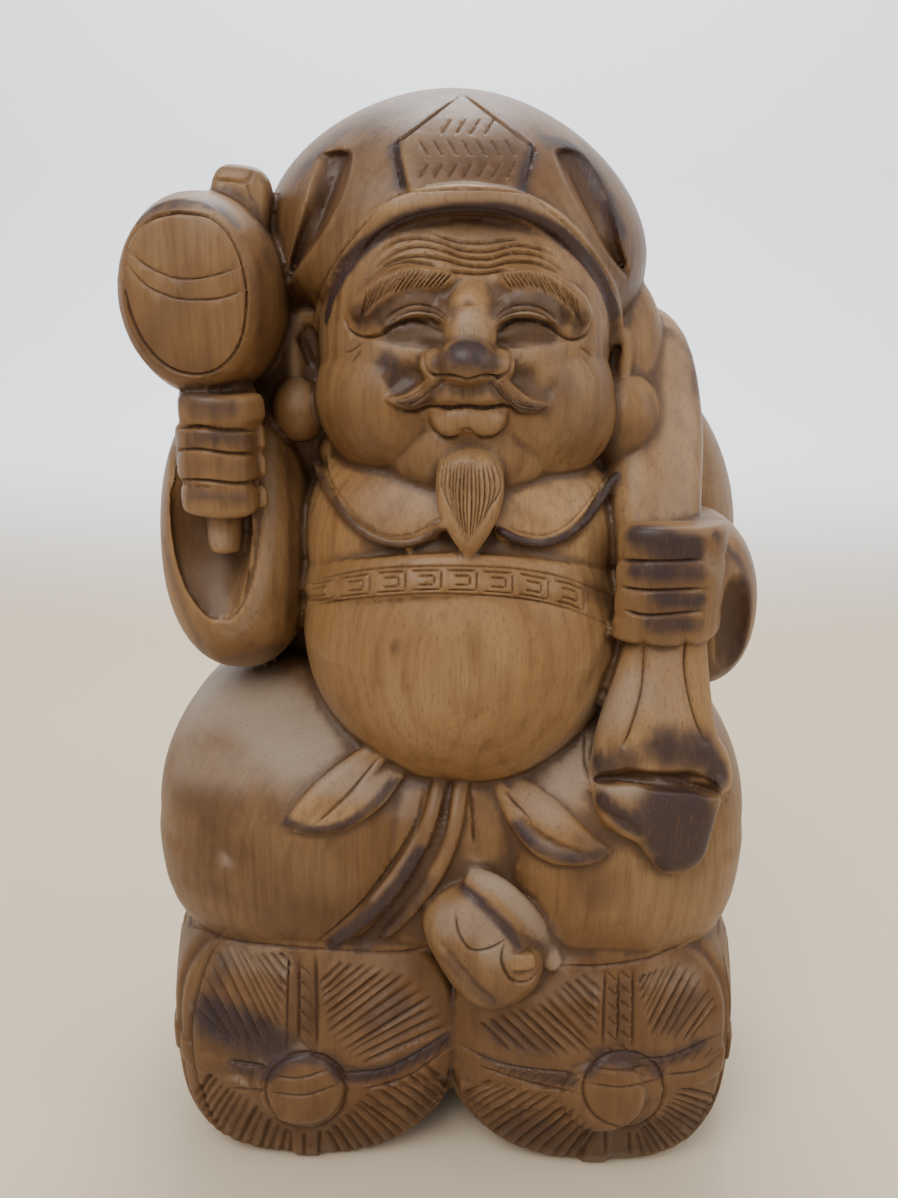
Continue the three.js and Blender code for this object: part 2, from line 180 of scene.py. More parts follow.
nothing_selected()
bpy.ops.mesh.primitive_plane_add(size=2 * FLOOR_HALF, location=(0, WALL_AT - FLOOR_HALF, 0))
room = bpy.context.object
room.name = "room"
bpy.ops.object.transform_apply(location=True)
bpy.ops.object.mode_set(mode="EDIT")
bpy.ops.mesh.select_all(action="DESELECT")
bpy.ops.object.mode_set(mode="OBJECT")
for edge in room.data.edges:
    edge.select = all(room.data.vertices[v].co.y > WALL_AT - 0.01 for v in edge.vertices)
bpy.ops.object.mode_set(mode="EDIT")
bpy.ops.mesh.select_mode(type="EDGE")
bpy.ops.mesh.extrude_region_move(TRANSFORM_OT_translate={"value": (0, 0, WALL_HIGH)})
bpy.ops.object.mode_set(mode="OBJECT")
bevel = room.modifiers.new("fold", "BEVEL")
bevel.width, bevel.segments = FOLD, 12
bpy.ops.object.modifier_apply(modifier="fold")
bpy.ops.object.shade_smooth()

PALE_BOARDS, WHITE_WALL = (0.58, 0.48, 0.35, 1), (0.88, 0.93, 1.0, 1)
WALL_GLOW = 0.45
paint = bpy.data.materials.new("pale floor")
paint.use_nodes = True
plain = paint.node_tree.nodes["Principled BSDF"]
room_place = Wire(paint.node_tree).node("ShaderNodeTexCoord", {}, {}, output="Object")
room_height = room_place.node("ShaderNodeSeparateXYZ", {}, {0: room_place}, output="Z")
up_the_wall = room_height.between(0.03, 0.35)
for socket, low in (("Base Color", PALE_BOARDS), ("Emission Color", (0, 0, 0, 1))):
    paint.node_tree.links.new(up_the_wall.over(low, WHITE_WALL).socket, plain.inputs[socket])
plain.inputs["Emission Strength"].default_value = WALL_GLOW
plain.inputs["Roughness"].default_value = 0.7
room.data.materials.append(paint)

world = bpy.data.worlds.new("soft daylight")
bpy.context.scene.world = world
world.use_nodes = True
world.node_tree.nodes["Background"].inputs["Color"].default_value = (0.97, 0.98, 1.0, 1)
world.node_tree.nodes["Background"].inputs["Strength"].default_value = 0.7


def lamp(name, at, size, watts, aim=(0, 0, 0.42), tint=(1.0, 0.98, 0.95)):
    bpy.ops.object.light_add(type="AREA", location=at)
    light = bpy.context.object
    light.name = name
    light.data.shape = "DISK"
    light.data.size, light.data.energy, light.data.color = size, watts, tint
    light.rotation_euler = (Vector(aim) - light.location).to_track_quat("-Z", "Y").to_euler()
    return light


lamp("window", (-0.65, -1.4, 2.1), size=1.5, watts=44)
lamp("far window", (1.6, -0.7, 1.4), size=1.4, watts=12)
lamp("on the wall", (0.0, 1.0, 2.7), size=1.2, watts=60, aim=(0, 1.9, 0.7))

# %% [markdown]
# ## Two ways to start a form
#
# Nearly every mass on the figure is either a ball or a roll. Both start as the sphere that the
# Add menu gives. A ball is scaled, and pushed towards a box where the carver left it full. A roll
# is the same sphere drawn out along a curve, with its own width and depth at each station. Both
# are described in millimetres, as on the carver's drawing.

# %% Ball and roll
MM = 0.001
FINE = 24
LOOK_AHEAD = 0.005


def eased(share):
    """A share from 0 to 1 that starts and ends gently."""
    return share * share * (3 - 2 * share)


def full_reach(angle, square):
    """How far a rounded square reaches at an angle: 2 is a circle, and more is squarer."""
    return (np.abs(np.cos(angle)) ** square + np.abs(np.sin(angle)) ** square) ** (-1 / square)


def moved(piece, rule):
    """Give the points of a mesh to a rule as an array, and put back what it returns."""
    points = np.empty(len(piece.data.vertices) * 3)
    piece.data.vertices.foreach_get("co", points)
    piece.data.vertices.foreach_set("co", np.asarray(rule(points.reshape(-1, 3))).ravel())
    piece.data.update()
    return piece


def sphere(name, fine=FINE):
    nothing_selected()
    bpy.ops.mesh.primitive_uv_sphere_add(segments=2 * fine, ring_count=fine, radius=1)
    bpy.context.object.name = name
    return bpy.context.object


def ball(name, at, half, full=(2, 2), low=None, lying=False, turn=(0, 0, 0), fine=FINE):
    """A ball at a place, with its half sizes to the sides, front, top and bottom. full and low
    say how square its upper and lower halves are round the poles and along them."""
    tall, deep = half[2], half[3] if len(half) > 3 else half[2]
    spin = np.array(Matrix.Rotation(math.radians(turn[0]), 3, "X")
                    @ Matrix.Rotation(math.radians(turn[1]), 3, "Y")
                    @ Matrix.Rotation(math.radians(turn[2]), 3, "Z"))

    def squared(unit):
        below = unit[:, 2] < 0
        square = np.where(below, (low or full)[0], full[0])
        ends = np.where(below, (low or full)[1], full[1])
        x, y, z = np.abs(unit).T
        ring = x ** square + (z if lying else y) ** square
        grown = unit * ((ring ** (ends / square) + (y if lying else z) ** ends) ** (-1 / ends))[:, None]
        grown *= np.stack([np.full(len(unit), half[0]), np.full(len(unit), half[1]),
                           np.where(below, deep, tall)], axis=1)
        return (grown @ spin.T + at) * MM

    return moved(sphere(name, fine), squared)


def along_curve(stations, places):
    """Points on a smooth curve through the stations, at places from 0 to 1."""
    stations = np.asarray(stations, float)
    line = np.vstack([2 * stations[0] - stations[1], stations, 2 * stations[-1] - stations[-2]])
    steps = np.clip(np.asarray(places, float), 0, 1) * (len(stations) - 1)
    first = np.minimum(steps.astype(int), len(stations) - 2)
    t = (steps - first)[:, None]
    a, b, c, d = (line[first + i] for i in range(4))
    return b + 0.5 * t * (c - a + t * (2 * a - 5 * b + 4 * c - d + t * (3 * (b - c) + d - a)))


def roll(name, stations, square=2, blunt=3, facing=(0, -1, 0), fine=FINE):
    """A roll along a curve. Each station is x, y, z, half width across and half depth. The depth
    is measured along facing, which is one direction or one for each station."""
    stations = np.asarray(stations, float)
    fronts = np.broadcast_to(np.asarray(facing, float), (len(stations), 3))

    def drawn_out(unit):
        height = np.clip(unit[:, 2], -1, 1)
        t = (1 - height) / 2
        taper = (1 - np.abs(height) ** blunt) ** (1 / blunt)
        middle = along_curve(stations[:, :3], t)
        run = (along_curve(stations[:, :3], t + LOOK_AHEAD)
               - along_curve(stations[:, :3], t - LOOK_AHEAD))
        run /= np.linalg.norm(run, axis=1)[:, None]
        across = np.cross(along_curve(fronts, t), run)
        across /= np.linalg.norm(across, axis=1)[:, None]
        out = np.cross(run, across)
        angle = np.arctan2(-unit[:, 1], unit[:, 0])
        wide, deep = along_curve(stations[:, 3:], t).T
        reach = full_reach(angle, square)
        return (middle + across * (wide * taper * reach * np.cos(angle))[:, None]
                + out * (deep * taper * reach * np.sin(angle))[:, None]) * MM

    return moved(sphere(name, fine), drawn_out)


print("a plain ball or roll has", 2 * FINE * (FINE - 1) + 2, "points")

# %% [markdown]
# ## Cutting one form with another
#
# A hollow sleeve is a form with another form taken out of it, and a collar is the chest, grown a
# little and kept only inside a petal outline. The Boolean modifier does both, and it is applied
# at once so that only the result stays. A prism is an outline, seen from the front, that runs
# from before the figure to a plane inside it. It is a cylinder whose rings are moved there.

# %% Cutters
def carve_with(target, cutter, operation="DIFFERENCE"):
    nothing_selected()
    bpy.context.view_layer.objects.active = target
    target.select_set(True)
    step = target.modifiers.new("cut", "BOOLEAN")
    step.operation, step.object, step.solver = operation, cutter, "MANIFOLD"
    bpy.ops.object.modifier_apply(modifier="cut")
    bpy.data.objects.remove(cutter)
    return target


def between_rings(name, near, far):
    """A closed solid between two rings: a cylinder whose two ends are moved to them."""
    nothing_selected()
    bpy.ops.mesh.primitive_cylinder_add(vertices=len(near), radius=1, depth=2)
    piece = bpy.context.object
    piece.name = name

    def stretched_to(points):
        turn = np.arctan2(points[:, 1], points[:, 0]).round(4)
        for end, ring in ((points[:, 2] < 0, near), (points[:, 2] > 0, far)):
            which = np.flatnonzero(end)
            points[which[np.argsort(turn[which])]] = np.asarray(ring) * MM
        return points

    moved(piece, stretched_to)
    bpy.ops.object.mode_set(mode="EDIT")
    bpy.ops.mesh.normals_make_consistent(inside=False)
    bpy.ops.object.mode_set(mode="OBJECT")
    return piece


FAR_OUT = 400


def prism(outline, back, smooth=0):
    if smooth:
        closed = list(outline) + [outline[0]]
        outline = along_curve(closed, np.linspace(0, 1, smooth, endpoint=False))
    return between_rings("prism", *([(x, y, z) for x, z in outline] for y in (-FAR_OUT, back)))


print("prisms start", FAR_OUT, "mm in front of the middle")

# %% Fusing
SKETCH_VOXEL = 0.0024
print("forms are fused in cubes of", round(SKETCH_VOXEL / MM, 1), "mm")


def fused(name, pieces, voxel=SKETCH_VOXEL):
    nothing_selected()
    for piece in pieces:
        piece.select_set(True)
    bpy.context.view_layer.objects.active = pieces[0]
    bpy.ops.object.join()
    skin = bpy.context.object
    skin.name = name
    skin.data.remesh_voxel_size = voxel
    bpy.ops.object.voxel_remesh()
    return skin


# %% [markdown]
# ## The bales
#
# Each bale is a squarish roll of straw that lies front to back. The carver gave it a domed face,
# a ledge round that face, and raised bands that meet under a round boss. One profile is spun
# about the bale's long axis, and the round section is then pressed square by a formula.

# %% Model the bales
BALE_X, BALE_Z = 108, 108
BALE_HALF = (112, 152, 108, 120)
BALE_PROFILE = [
    (0, -1), (0.45, -0.975), (0.75, -0.92), (0.87, -0.865), (0.885, -0.845), (0.893, -0.8),
    (0.935, -0.795), (0.955, -0.76), (0.985, -0.6), (1, -0.4), (1, 0.4), (0.985, 0.65), (0.95, 0.78),
    (0.8, 0.9), (0.4, 0.98), (0, 1),
]
SQUARE_ABOVE, SQUARE_OUTSIDE, SQUARE_INSIDE = 2.7, 3.3, 2.25
TOE_IN, TOE_FROM, TOE_TO = 10, 0.2, 0.8
BAND_HALF, BAND_RISE, BAND_PROUD = 10, 0.16, 2
BOSS_Z, BOSS_SUNK, BOSS_HALF = 82, 6, (31, 13, 31)
SPUN_STEPS = 96


def spun(name, profile):
    """A profile of radius and depth, turned about the front-to-back axis: a sphere whose rings
    are moved to the profile's points."""
    nothing_selected()
    bpy.ops.mesh.primitive_uv_sphere_add(segments=SPUN_STEPS, ring_count=len(profile) - 1, radius=1)
    piece = bpy.context.object
    piece.name = name
    radii, depths = np.array(profile).T

    def turned(points):
        row = np.rint(np.arccos(np.clip(points[:, 2], -1, 1)) / math.pi * (len(profile) - 1)).astype(int)
        angle = np.arctan2(points[:, 1], points[:, 0])
        return np.stack([radii[row] * np.cos(angle), depths[row], radii[row] * np.sin(angle)], axis=1)

    moved(piece, turned)
    bpy.ops.object.mode_set(mode="EDIT")
    bpy.ops.mesh.normals_make_consistent(inside=False)
    bpy.ops.object.mode_set(mode="OBJECT")
    return piece


def bale_roll(side, grow=0.0):
    piece = spun("bale", BALE_PROFILE)
    wide, deep, up, down = BALE_HALF

    def pressed(p):
        x, y, z = p.T
        square = np.where(z > 0, SQUARE_ABOVE, np.where(x * side > 0, SQUARE_OUTSIDE, SQUARE_INSIDE))
        reach = full_reach(np.arctan2(z, x), square)
        toe = eased(np.clip((-y - TOE_FROM) / (TOE_TO - TOE_FROM), 0, 1)) * TOE_IN
        return np.stack([side * (BALE_X - toe) + x * reach * (wide + grow), y * (deep + grow),
                         BALE_Z + z * reach * (np.where(z < 0, down, up) + grow)], axis=1) * MM

    return moved(piece, pressed)


def bale(side):
    x = side * BALE_X
    reach = BALE_HALF[0] - BAND_HALF
    upright = prism([(x - BAND_HALF, -FAR_OUT), (x + BAND_HALF, -FAR_OUT),
                     (x + BAND_HALF, FAR_OUT), (x - BAND_HALF, FAR_OUT)], 0)
    low, high = BOSS_Z - side * BAND_RISE * reach, BOSS_Z + side * BAND_RISE * reach
    level = prism([(x - reach, low - BAND_HALF), (x + reach, high - BAND_HALF),
                   (x + reach, high + BAND_HALF), (x - reach, low + BAND_HALF)], 0)
    boss = ball("boss", (x, BOSS_SUNK - BALE_HALF[1], BOSS_Z), BOSS_HALF, lying=True, full=(2, 4.5))
    bands = [carve_with(bale_roll(side, BAND_PROUD), strip, "INTERSECT") for strip in (upright, level)]
    return [bale_roll(side), boss, *bands]


forms = bale(-1) + bale(1)
print("forms for the bales:", len(forms))

# %% [markdown]
# ## Trousers and shoe
#
# The trousers are two full balls of cloth with a lap between them, and two small balls are the
# toe and heel of the shoe that peeps out. The sash ends, the hems and the shoe's cuff are laid on
# later, when there is a skin to lay them on.

# %% Model the trousers
LEG = dict(full=(2.6, 2.1), low=(2.8, 3.2), fine=40)
forms += [
    ball("right_leg", (-107, -8, 262), (117.7, 142, 112, 108), **LEG),
    ball("left_leg", (109, -8, 262), (107, 142, 112, 112), **LEG),
    ball("lap", (-10, -10, 250), (96, 132, 100, 100), full=(2.6, 2.4), low=(3, 3.2)),
    ball("toe", (20, -134, 200), (35, 36, 50), full=(2.4, 2.8), turn=(0, -28, 0)),
    ball("heel", (45, -144, 187), (17, 24, 20)),
]
print("with the trousers:", len(forms))

# %% [markdown]
# ## Body, belt and collar
#
# The bare belly pushes out under a flat belt. The two petals of the collar are slices of a
# slightly larger chest, so they follow the chest exactly and stand a few millimetres proud.

# %% Model the body
def chest(grow=0.0):
    return ball("chest", (0, -20, 466), (110 + grow, 116 + grow, 84 + grow), full=(3, 2.2), fine=40)


RIGHT_PETAL = [
    (-108, 560), (-98, 532), (-84, 512), (-66, 489), (-47, 478), (-28, 479), (-8, 494), (-20, 560),
]
LEFT_PETAL = [(106, 545), (97, 516), (87, 506), (73, 492), (55, 481), (36, 481), (20, 491), (24, 560)]
COLLAR_RAISED, COLLAR_BACK = 5, -40
BELT_TURNS = np.radians(np.linspace(-84, 84, 13))
BELT_LEAN = math.radians(28)
BELT_SQUARE, BELT_HALF, BELT_MIDDLE, BELT_DROP, BELT_SECTION = 2.4, (98, 107), (-38, 461), 25, (13, 12)


def belt_station(turn):
    s, c = math.sin(turn), math.cos(turn)
    reach = full_reach(turn, BELT_SQUARE)
    return (BELT_HALF[0] * s * reach, BELT_MIDDLE[0] - BELT_HALF[1] * c * reach,
            BELT_MIDDLE[1] - BELT_DROP * s * s, *BELT_SECTION)


def belt_front(turn):
    s, c = math.sin(turn), math.cos(turn)
    return (s, -c * math.cos(BELT_LEAN), c * math.sin(BELT_LEAN))


forms += [
    ball("belly", (3.5, -46, 400), (114, 121, 118, 120), full=(2.2, 2.1), low=(2.1, 1.9), fine=40),
    chest(),
    ball("back", (-4, 42, 438), (158, 108, 150, 130), full=(2.4, 2.6), fine=40),
    ball("nape", (0, 44, 600), (84, 66, 70)),
    ball("neck", (0, -34, 526), (103, 80, 44)),
    roll("belt", [belt_station(turn) for turn in BELT_TURNS], square=5, blunt=24, fine=48,
         facing=[belt_front(turn) for turn in BELT_TURNS]),
    *(carve_with(chest(COLLAR_RAISED), prism(petal, COLLAR_BACK, smooth=48), "INTERSECT")
      for petal in (RIGHT_PETAL, LEFT_PETAL)),
]
print("with the body:", len(forms))

# %% [markdown]
# ## The arms, the mallet and the sack
#
# Each sleeve is a ball with a hollow taken out where the hand comes through. Four stacked rolls
# make a fist. The mallet is a swollen barrel that points forwards, and the sack's long neck runs
# from his back, over the shoulder and through the left hand, to a soft mouth with one corner
# hanging down.

# %% Model the right arm and the mallet
def fingers(name, stations_of, heights):
    return [roll(f"{name}_{i}", stations_of(*height), square=5, blunt=9)
            for i, height in enumerate(heights)]


right_sleeve = ball("right_sleeve", (-154, -46, 460), (52, 76, 108, 92), full=(2.4, 2.2), fine=40)
right_hollow = roll("hollow", [(-152, -112, 600, 26, 30), (-160, -118, 520, 29, 30),
                               (-161, -121, 470, 27, 29), (-157, -125, 420, 20, 20)])
forms += [
    carve_with(right_sleeve, right_hollow),
    ball("right_shoulder", (-112, -6, 572), (52, 64, 98)),
    ball("right_palm", (-149, -96, 534), (20, 32, 44), full=(3, 2.8)),
    roll("right_wrist", [(-146, -92, 520, 20, 20), (-140, -60, 480, 22, 22)]),
    *fingers("right_finger",
             lambda z, x: [(x, -108, z, 9, 14), (-158, -124, z, 10, 14), (-142, -124, z - 1, 10, 14),
                           (-131, -108, z, 9, 14)],
             [(558, -160), (540, -167), (522, -167), (503, -164)]),
    roll("handle", [(-147, -84, 640, 14, 14), (-149, -100, 550, 13, 22), (-152, -106, 465, 11, 22)],
         blunt=10),
    ball("knob", (-140, -72, 676), (18, 15, 25), full=(5, 3.4), turn=(0, 6, 0)),
]

MALLET_AT = (-160, -82, 623.5)
MALLET_HALF = (35.2, 58, 44.6)
MALLET_PROFILE = [
    (0, -1.03), (0.5, -1.02), (0.98, -0.995), (1.03, -0.98), (1.18, -0.86), (1.31, -0.55), (1.37, -0.15),
    (1.37, 0.2), (1.28, 0.65), (1.1, 0.92), (0.5, 1), (0, 1),
]
forms.append(moved(spun("mallet", MALLET_PROFILE), lambda p: (p * MALLET_HALF + MALLET_AT) * MM))
print("with the right arm and the mallet:", len(forms))

# %% Model the left arm and the sack
left_sleeve = ball("left_sleeve", (168, -30, 420), (43, 72, 64), full=(2.4, 2.2), fine=32)
forms += [
    carve_with(left_sleeve, ball("opening", (186, -108, 414), (16, 26, 50))),
    ball("left_shoulder", (112, 4, 540), (56, 66, 90)),
    ball("knuckles", (142, -90, 452), (27, 34, 38), full=(3.4, 3)),
    *fingers("left_finger",
             lambda z, tall: [(102, -118, z, tall, 12), (122, -129, z + 1, tall + 1, 14),
                              (148, -121, z, tall + 1, 14), (164, -98, z, tall, 12)],
             [(479, 12), (458, 10.5), (441, 9.5), (425, 9)]),
    ball("sack", (85, 77, 440), (137.6, 89, 158, 120), full=(2.4, 2), fine=44),
]
forms += [
    roll("sack_neck", [
        (116, 10, 606, 26, 20), (124, -24, 586, 32, 26), (127, -52, 545, 34, 26),
        (127, -74, 508, 32, 24), (129, -94, 470, 28, 22), (133, -106, 432, 27, 22),
        (134, -116, 405, 28, 20), (132, -124, 375, 34, 20), (131, -129, 348, 41, 20),
        (134, -131, 326, 48, 19), (135, -132, 308, 50, 18)], square=2.6, blunt=10, fine=40),
    roll("sack_tongue", [
        (134, -128, 328, 44, 22), (134, -136, 314, 45, 25), (138, -144, 303, 38, 20),
        (142, -149, 290, 26, 15), (143, -151, 277, 20, 12), (141, -150, 263, 10, 8)],
        square=2.6, blunt=5, fine=36),
    ball("behind_the_ear", (104, -30, 575), (34, 40, 70)),
]
print("with the left arm and the sack:", len(forms))

# %% [markdown]
# ## The head
#
# The head is one broad ball with full cheeks, and a socket is cut out for each eye. On it sit a
# button nose with wings, a small beard, and long ears with heavy lobes, which stand for good
# fortune. The brows, lids, lips and moustache are laid on later.

# %% Model the head
MIDDLE = 3


def both(make):
    return [make(-1), make(1)]


face = fused("face", [
    ball("skull", (0, -40, 588), (95, 100, 110, 80), full=(2.8, 2.6), low=(2.6, 2.2), fine=40),
    *both(lambda s: ball("cheek", (1 + s * 42, -78, 564), (54, 62, 54), fine=36)),
    ball("chin", (4, -88, 536), (66, 52, 43), fine=36),
    ball("jaw", (6, -82, 555), (92, 52, 52), full=(2.4, 2.3), fine=36),
    ball("muzzle", (4, -112, 565), (38, 38, 28)),
])
for side in (-1, 1):
    carve_with(face, ball("socket", (MIDDLE + side * 36, -147, 612), (31, 17, 16), turn=(0, side * 8, 0)))
forms += [
    face,
    roll("bridge", [(MIDDLE, -106, 654, 22, 12), (MIDDLE, -118, 630, 15, 16), (MIDDLE, -136, 608, 17, 20),
                    (MIDDLE, -146, 590, 20, 21)]),
    ball("nose", (MIDDLE - 1, -152, 589), (17, 18, 14)),
    *both(lambda s: ball("wing", (MIDDLE - 1 + s * 17, -143, 587), (11, 14, 10))),
    roll("beard", [(4, -128, 541, 20, 12), (5, -138, 524, 22, 15), (5, -145, 503, 19, 13),
                   (5, -148, 486, 12, 10), (5, -148, 475, 6, 7)], blunt=2.4),
    roll("ear", [(-88, -64, 588, 6, 8), (-92, -62, 606, 7, 9), (-104, -60, 612, 8, 10),
                 (-112, -60, 598, 8, 11), (-110, -62, 575, 9, 12), (-106, -64, 556, 10, 12)]),
    roll("ear", [(88, -66, 584, 6, 8), (92, -66, 599, 8, 9), (100, -64, 604, 7, 9),
                 (105, -64, 592, 6, 10), (104, -66, 574, 6, 11), (106, -66, 556, 9, 12)]),
    ball("ear_hollow_floor", (-99, -52, 588), (12, 10, 26)),
    ball("ear_hollow_floor", (96, -54, 582), (12, 10, 26)),
    ball("right_lobe", (-108, -68, 553), (18, 20, 21)),
    ball("left_lobe", (107, -66, 546), (25, 24, 34)),
]
print("with the head:", len(forms))

# %% [markdown]
# ## The cap
#
# The cap is a full soft crown that leans a little, with an arch cut out of it for the face, a
# rolled brim, and a five-sided crest that stands proud in front. Its two deep folds come later.

# %% Model the cap
def crown(grow=0.0):
    return ball("crown", (-6, 0, 660), (130 + grow, 128 + grow, 97.6 + grow, 56 + grow), full=(2.2, 1.76),
                low=(2.2, 4.6), turn=(0, 5, 0), fine=44)


ARCH = [
    (-92, 520), (-92, 600), (-86, 622), (-76, 642), (-56, 660), (-34, 668), (0, 671), (34, 667),
    (62, 650), (80, 632), (92, 610), (94, 600), (94, 520),
]
CREST = [(-33, 682), (33, 682), (38, 713), (-2, 745), (-41, 713)]
CREST_RAISED, CAP_BACK = 5, -30
forms += [
    carve_with(crown(), prism(ARCH, CAP_BACK)),
    carve_with(crown(CREST_RAISED), prism(CREST, CAP_BACK), "INTERSECT"),
    roll("brim", [(-93, -66, 604, 7, 9), (-83, -84, 628, 7, 10), (-72, -97, 644, 8, 11),
                  (-59, -108, 658, 8, 12), (-43, -117, 669, 8, 12), (-22, -124, 676, 8, 12),
                  (-2, -127, 678, 8, 12), (18, -124, 677, 8, 12), (38, -117, 672, 8, 12),
                  (55, -108, 663, 8, 12), (71, -97, 649, 8, 11), (85, -84, 632, 8, 10),
                  (98, -66, 608, 7, 9)], square=2.6, blunt=8, fine=44),
]
print("forms in all:", len(forms))

# %% [markdown]
# ## A first skin, and a way to touch it
#
# All these masses overlap, and the carving has no seams. A voxel remesh melts them into one skin,
# as clay would. Smaller forms are then laid on that skin where the photograph shows them: a ray
# goes out through each pixel, and the place where it meets the skin is where the form sits.

# %% Fuse the masses
known = {"spots": [], "faces": [], "names": []}


def remember(pieces):
    """Note each form's surface by name, to give the finished block a tone for each form."""
    for piece in pieces:
        start = len(known["spots"])
        known["spots"] += [v.co.copy() for v in piece.data.vertices]
        known["faces"] += [[start + v for v in f.vertices] for f in piece.data.polygons]
        known["names"] += [piece.name.split(".")[0]] * len(piece.data.polygons)


remember(forms)
core = fused("core", forms)
print("core skin:", len(core.data.vertices), "points")

# %% Eyes that look at the block
LENS_AXES = np.array(camera.matrix_world.to_3x3())
RIGHT, DOWN, AHEAD = LENS_AXES[:, 0], -LENS_AXES[:, 1], -LENS_AXES[:, 2]


def photo(px, py):
    """From the camera through a pixel. The last value is how much a pixel covers per metre."""
    right, down = (px - PHOTO_MIDDLE[0]) / FOCAL_PIXELS, (py - PHOTO_MIDDLE[1]) / FOCAL_PIXELS
    return Vector(CAMERA_AT), Vector(RIGHT * right + DOWN * down + AHEAD).normalized(), 1 / FOCAL_PIXELS


def behind(x, z):
    return Vector((x * MM, 1, z * MM)), Vector((0, -1, 0)), None


def his_left(y, z):
    return Vector((1, y * MM, z * MM)), Vector((-1, 0, 0)), None


def his_right(y, z):
    return Vector((-1, y * MM, z * MM)), Vector((1, 0, 0)), None


def skin_of(piece):
    return BVHTree.FromPolygons([v.co for v in piece.data.vertices],
                                [tuple(f.vertices) for f in piece.data.polygons])


core_skin = skin_of(core)


def touch(skin, eye, u, v):
    """Where an eye's ray meets the skin: the spot, the ray, and the size of one unit there."""
    start, way, spread = eye(u, v)
    spot, _, _, far = skin.ray_cast(start, way)
    if spot is None:
        return None
    return np.array(spot), np.array(way), (far * spread if spread else MM)


print("the middle of the photograph shows", touch(core_skin, photo, *PHOTO_MIDDLE)[0].round(3))

# %% [markdown]
# ## Three deep openings
#
# The two folds of the cap and the mouth of the sack are too deep for a stroke. Each is a well: an
# outline on the photograph that narrows, as it goes in, towards a line along its floor.

# %% Cut the openings
WELLS = {
    "right_fold": (12, 0.5, [(344, 160), (338, 185), (320, 225), (303, 250), (291, 274)], [
        (320, 154), (336, 150), (352, 151), (350, 178), (338, 208), (320, 238), (303, 262), (288, 280),
        (293, 250), (302, 215), (311, 182),
    ]),
    "left_fold": (12, 0.5, [(562, 158), (576, 186), (596, 222), (610, 250), (624, 272)], [
        (553, 150), (570, 149), (586, 158), (602, 184), (614, 213), (621, 243), (629, 276), (614, 262),
        (597, 238), (578, 206), (563, 178),
    ]),
    "mouth": (9, 0.35, [(597, 779), (630, 777), (665, 781), (700, 785), (718, 793)], [
        (588, 781), (600, 773), (618, 770), (632, 767), (646, 770), (668, 771), (690, 770), (706, 776),
        (720, 786), (727, 797), (712, 798), (692, 794), (668, 792), (648, 790), (633, 786), (608, 787),
    ]),
}
CLEAR, AROUND_A_WELL = 24, 48


def well(name, outline, valley, deep, narrow):
    """The outline starts clear of the skin, and its floor lies deep under it."""
    rim = along_curve(list(outline) + [outline[0]], np.linspace(0, 1, AROUND_A_WELL, endpoint=False))
    valley = along_curve(valley, np.linspace(0, 1, AROUND_A_WELL))
    near, far = [], []
    for spot in rim:
        inward = valley[np.argmin(np.linalg.norm(valley - spot, axis=1))] - spot
        top = touch(core_skin, photo, *spot)
        low = touch(core_skin, photo, *(spot + inward * narrow))
        floor = low[0] / MM + low[1] * deep
        near.append(top[0] / MM + (top[0] / MM - floor) * CLEAR / deep)
        far.append(floor)
    return between_rings(name, near, far)


for name, (deep, narrow, valley, outline) in WELLS.items():
    carve_with(core, well(name, outline, valley, deep, narrow))
core_skin = skin_of(core)
print("core with openings:", len(core.data.vertices), "points")

# %% [markdown]
# ## Forms laid on the skin
#
# Brows, eyelids, lips, sash ends, hems and the cuff are low forms on a larger one. Each is a roll
# whose stations are given in the photograph's pixels, with its half width in pixels too, and how
# far it stands out in millimetres.

# %% Lay the small forms
RELIEF_FINE = 20


def laid(name, stations, square=2, blunt=4, sink=0.0, tuck=0.0):
    """Each station is px, py, half width in pixels, and height in millimetres. Tuck runs the
    first end on by so many millimetres, under whatever lies over it."""
    placed, ways = [], []
    for px, py, wide, high in stations:
        found = touch(core_skin, photo, px, py)
        if found is None:
            continue
        spot, way, pixel = found
        placed.append([*(spot / MM + way * sink), wide * pixel / MM, high])
        ways.append(way)
    if tuck:
        first, second = np.array(placed[0]), np.array(placed[1])
        onward = (first - second)[:3] / np.linalg.norm((first - second)[:3])
        placed.insert(0, [*(first[:3] + onward * tuck), *first[3:]])
    facing = np.mean(ways, axis=0)
    return roll(name, placed, square=square, blunt=blunt, facing=facing, fine=RELIEF_FINE)


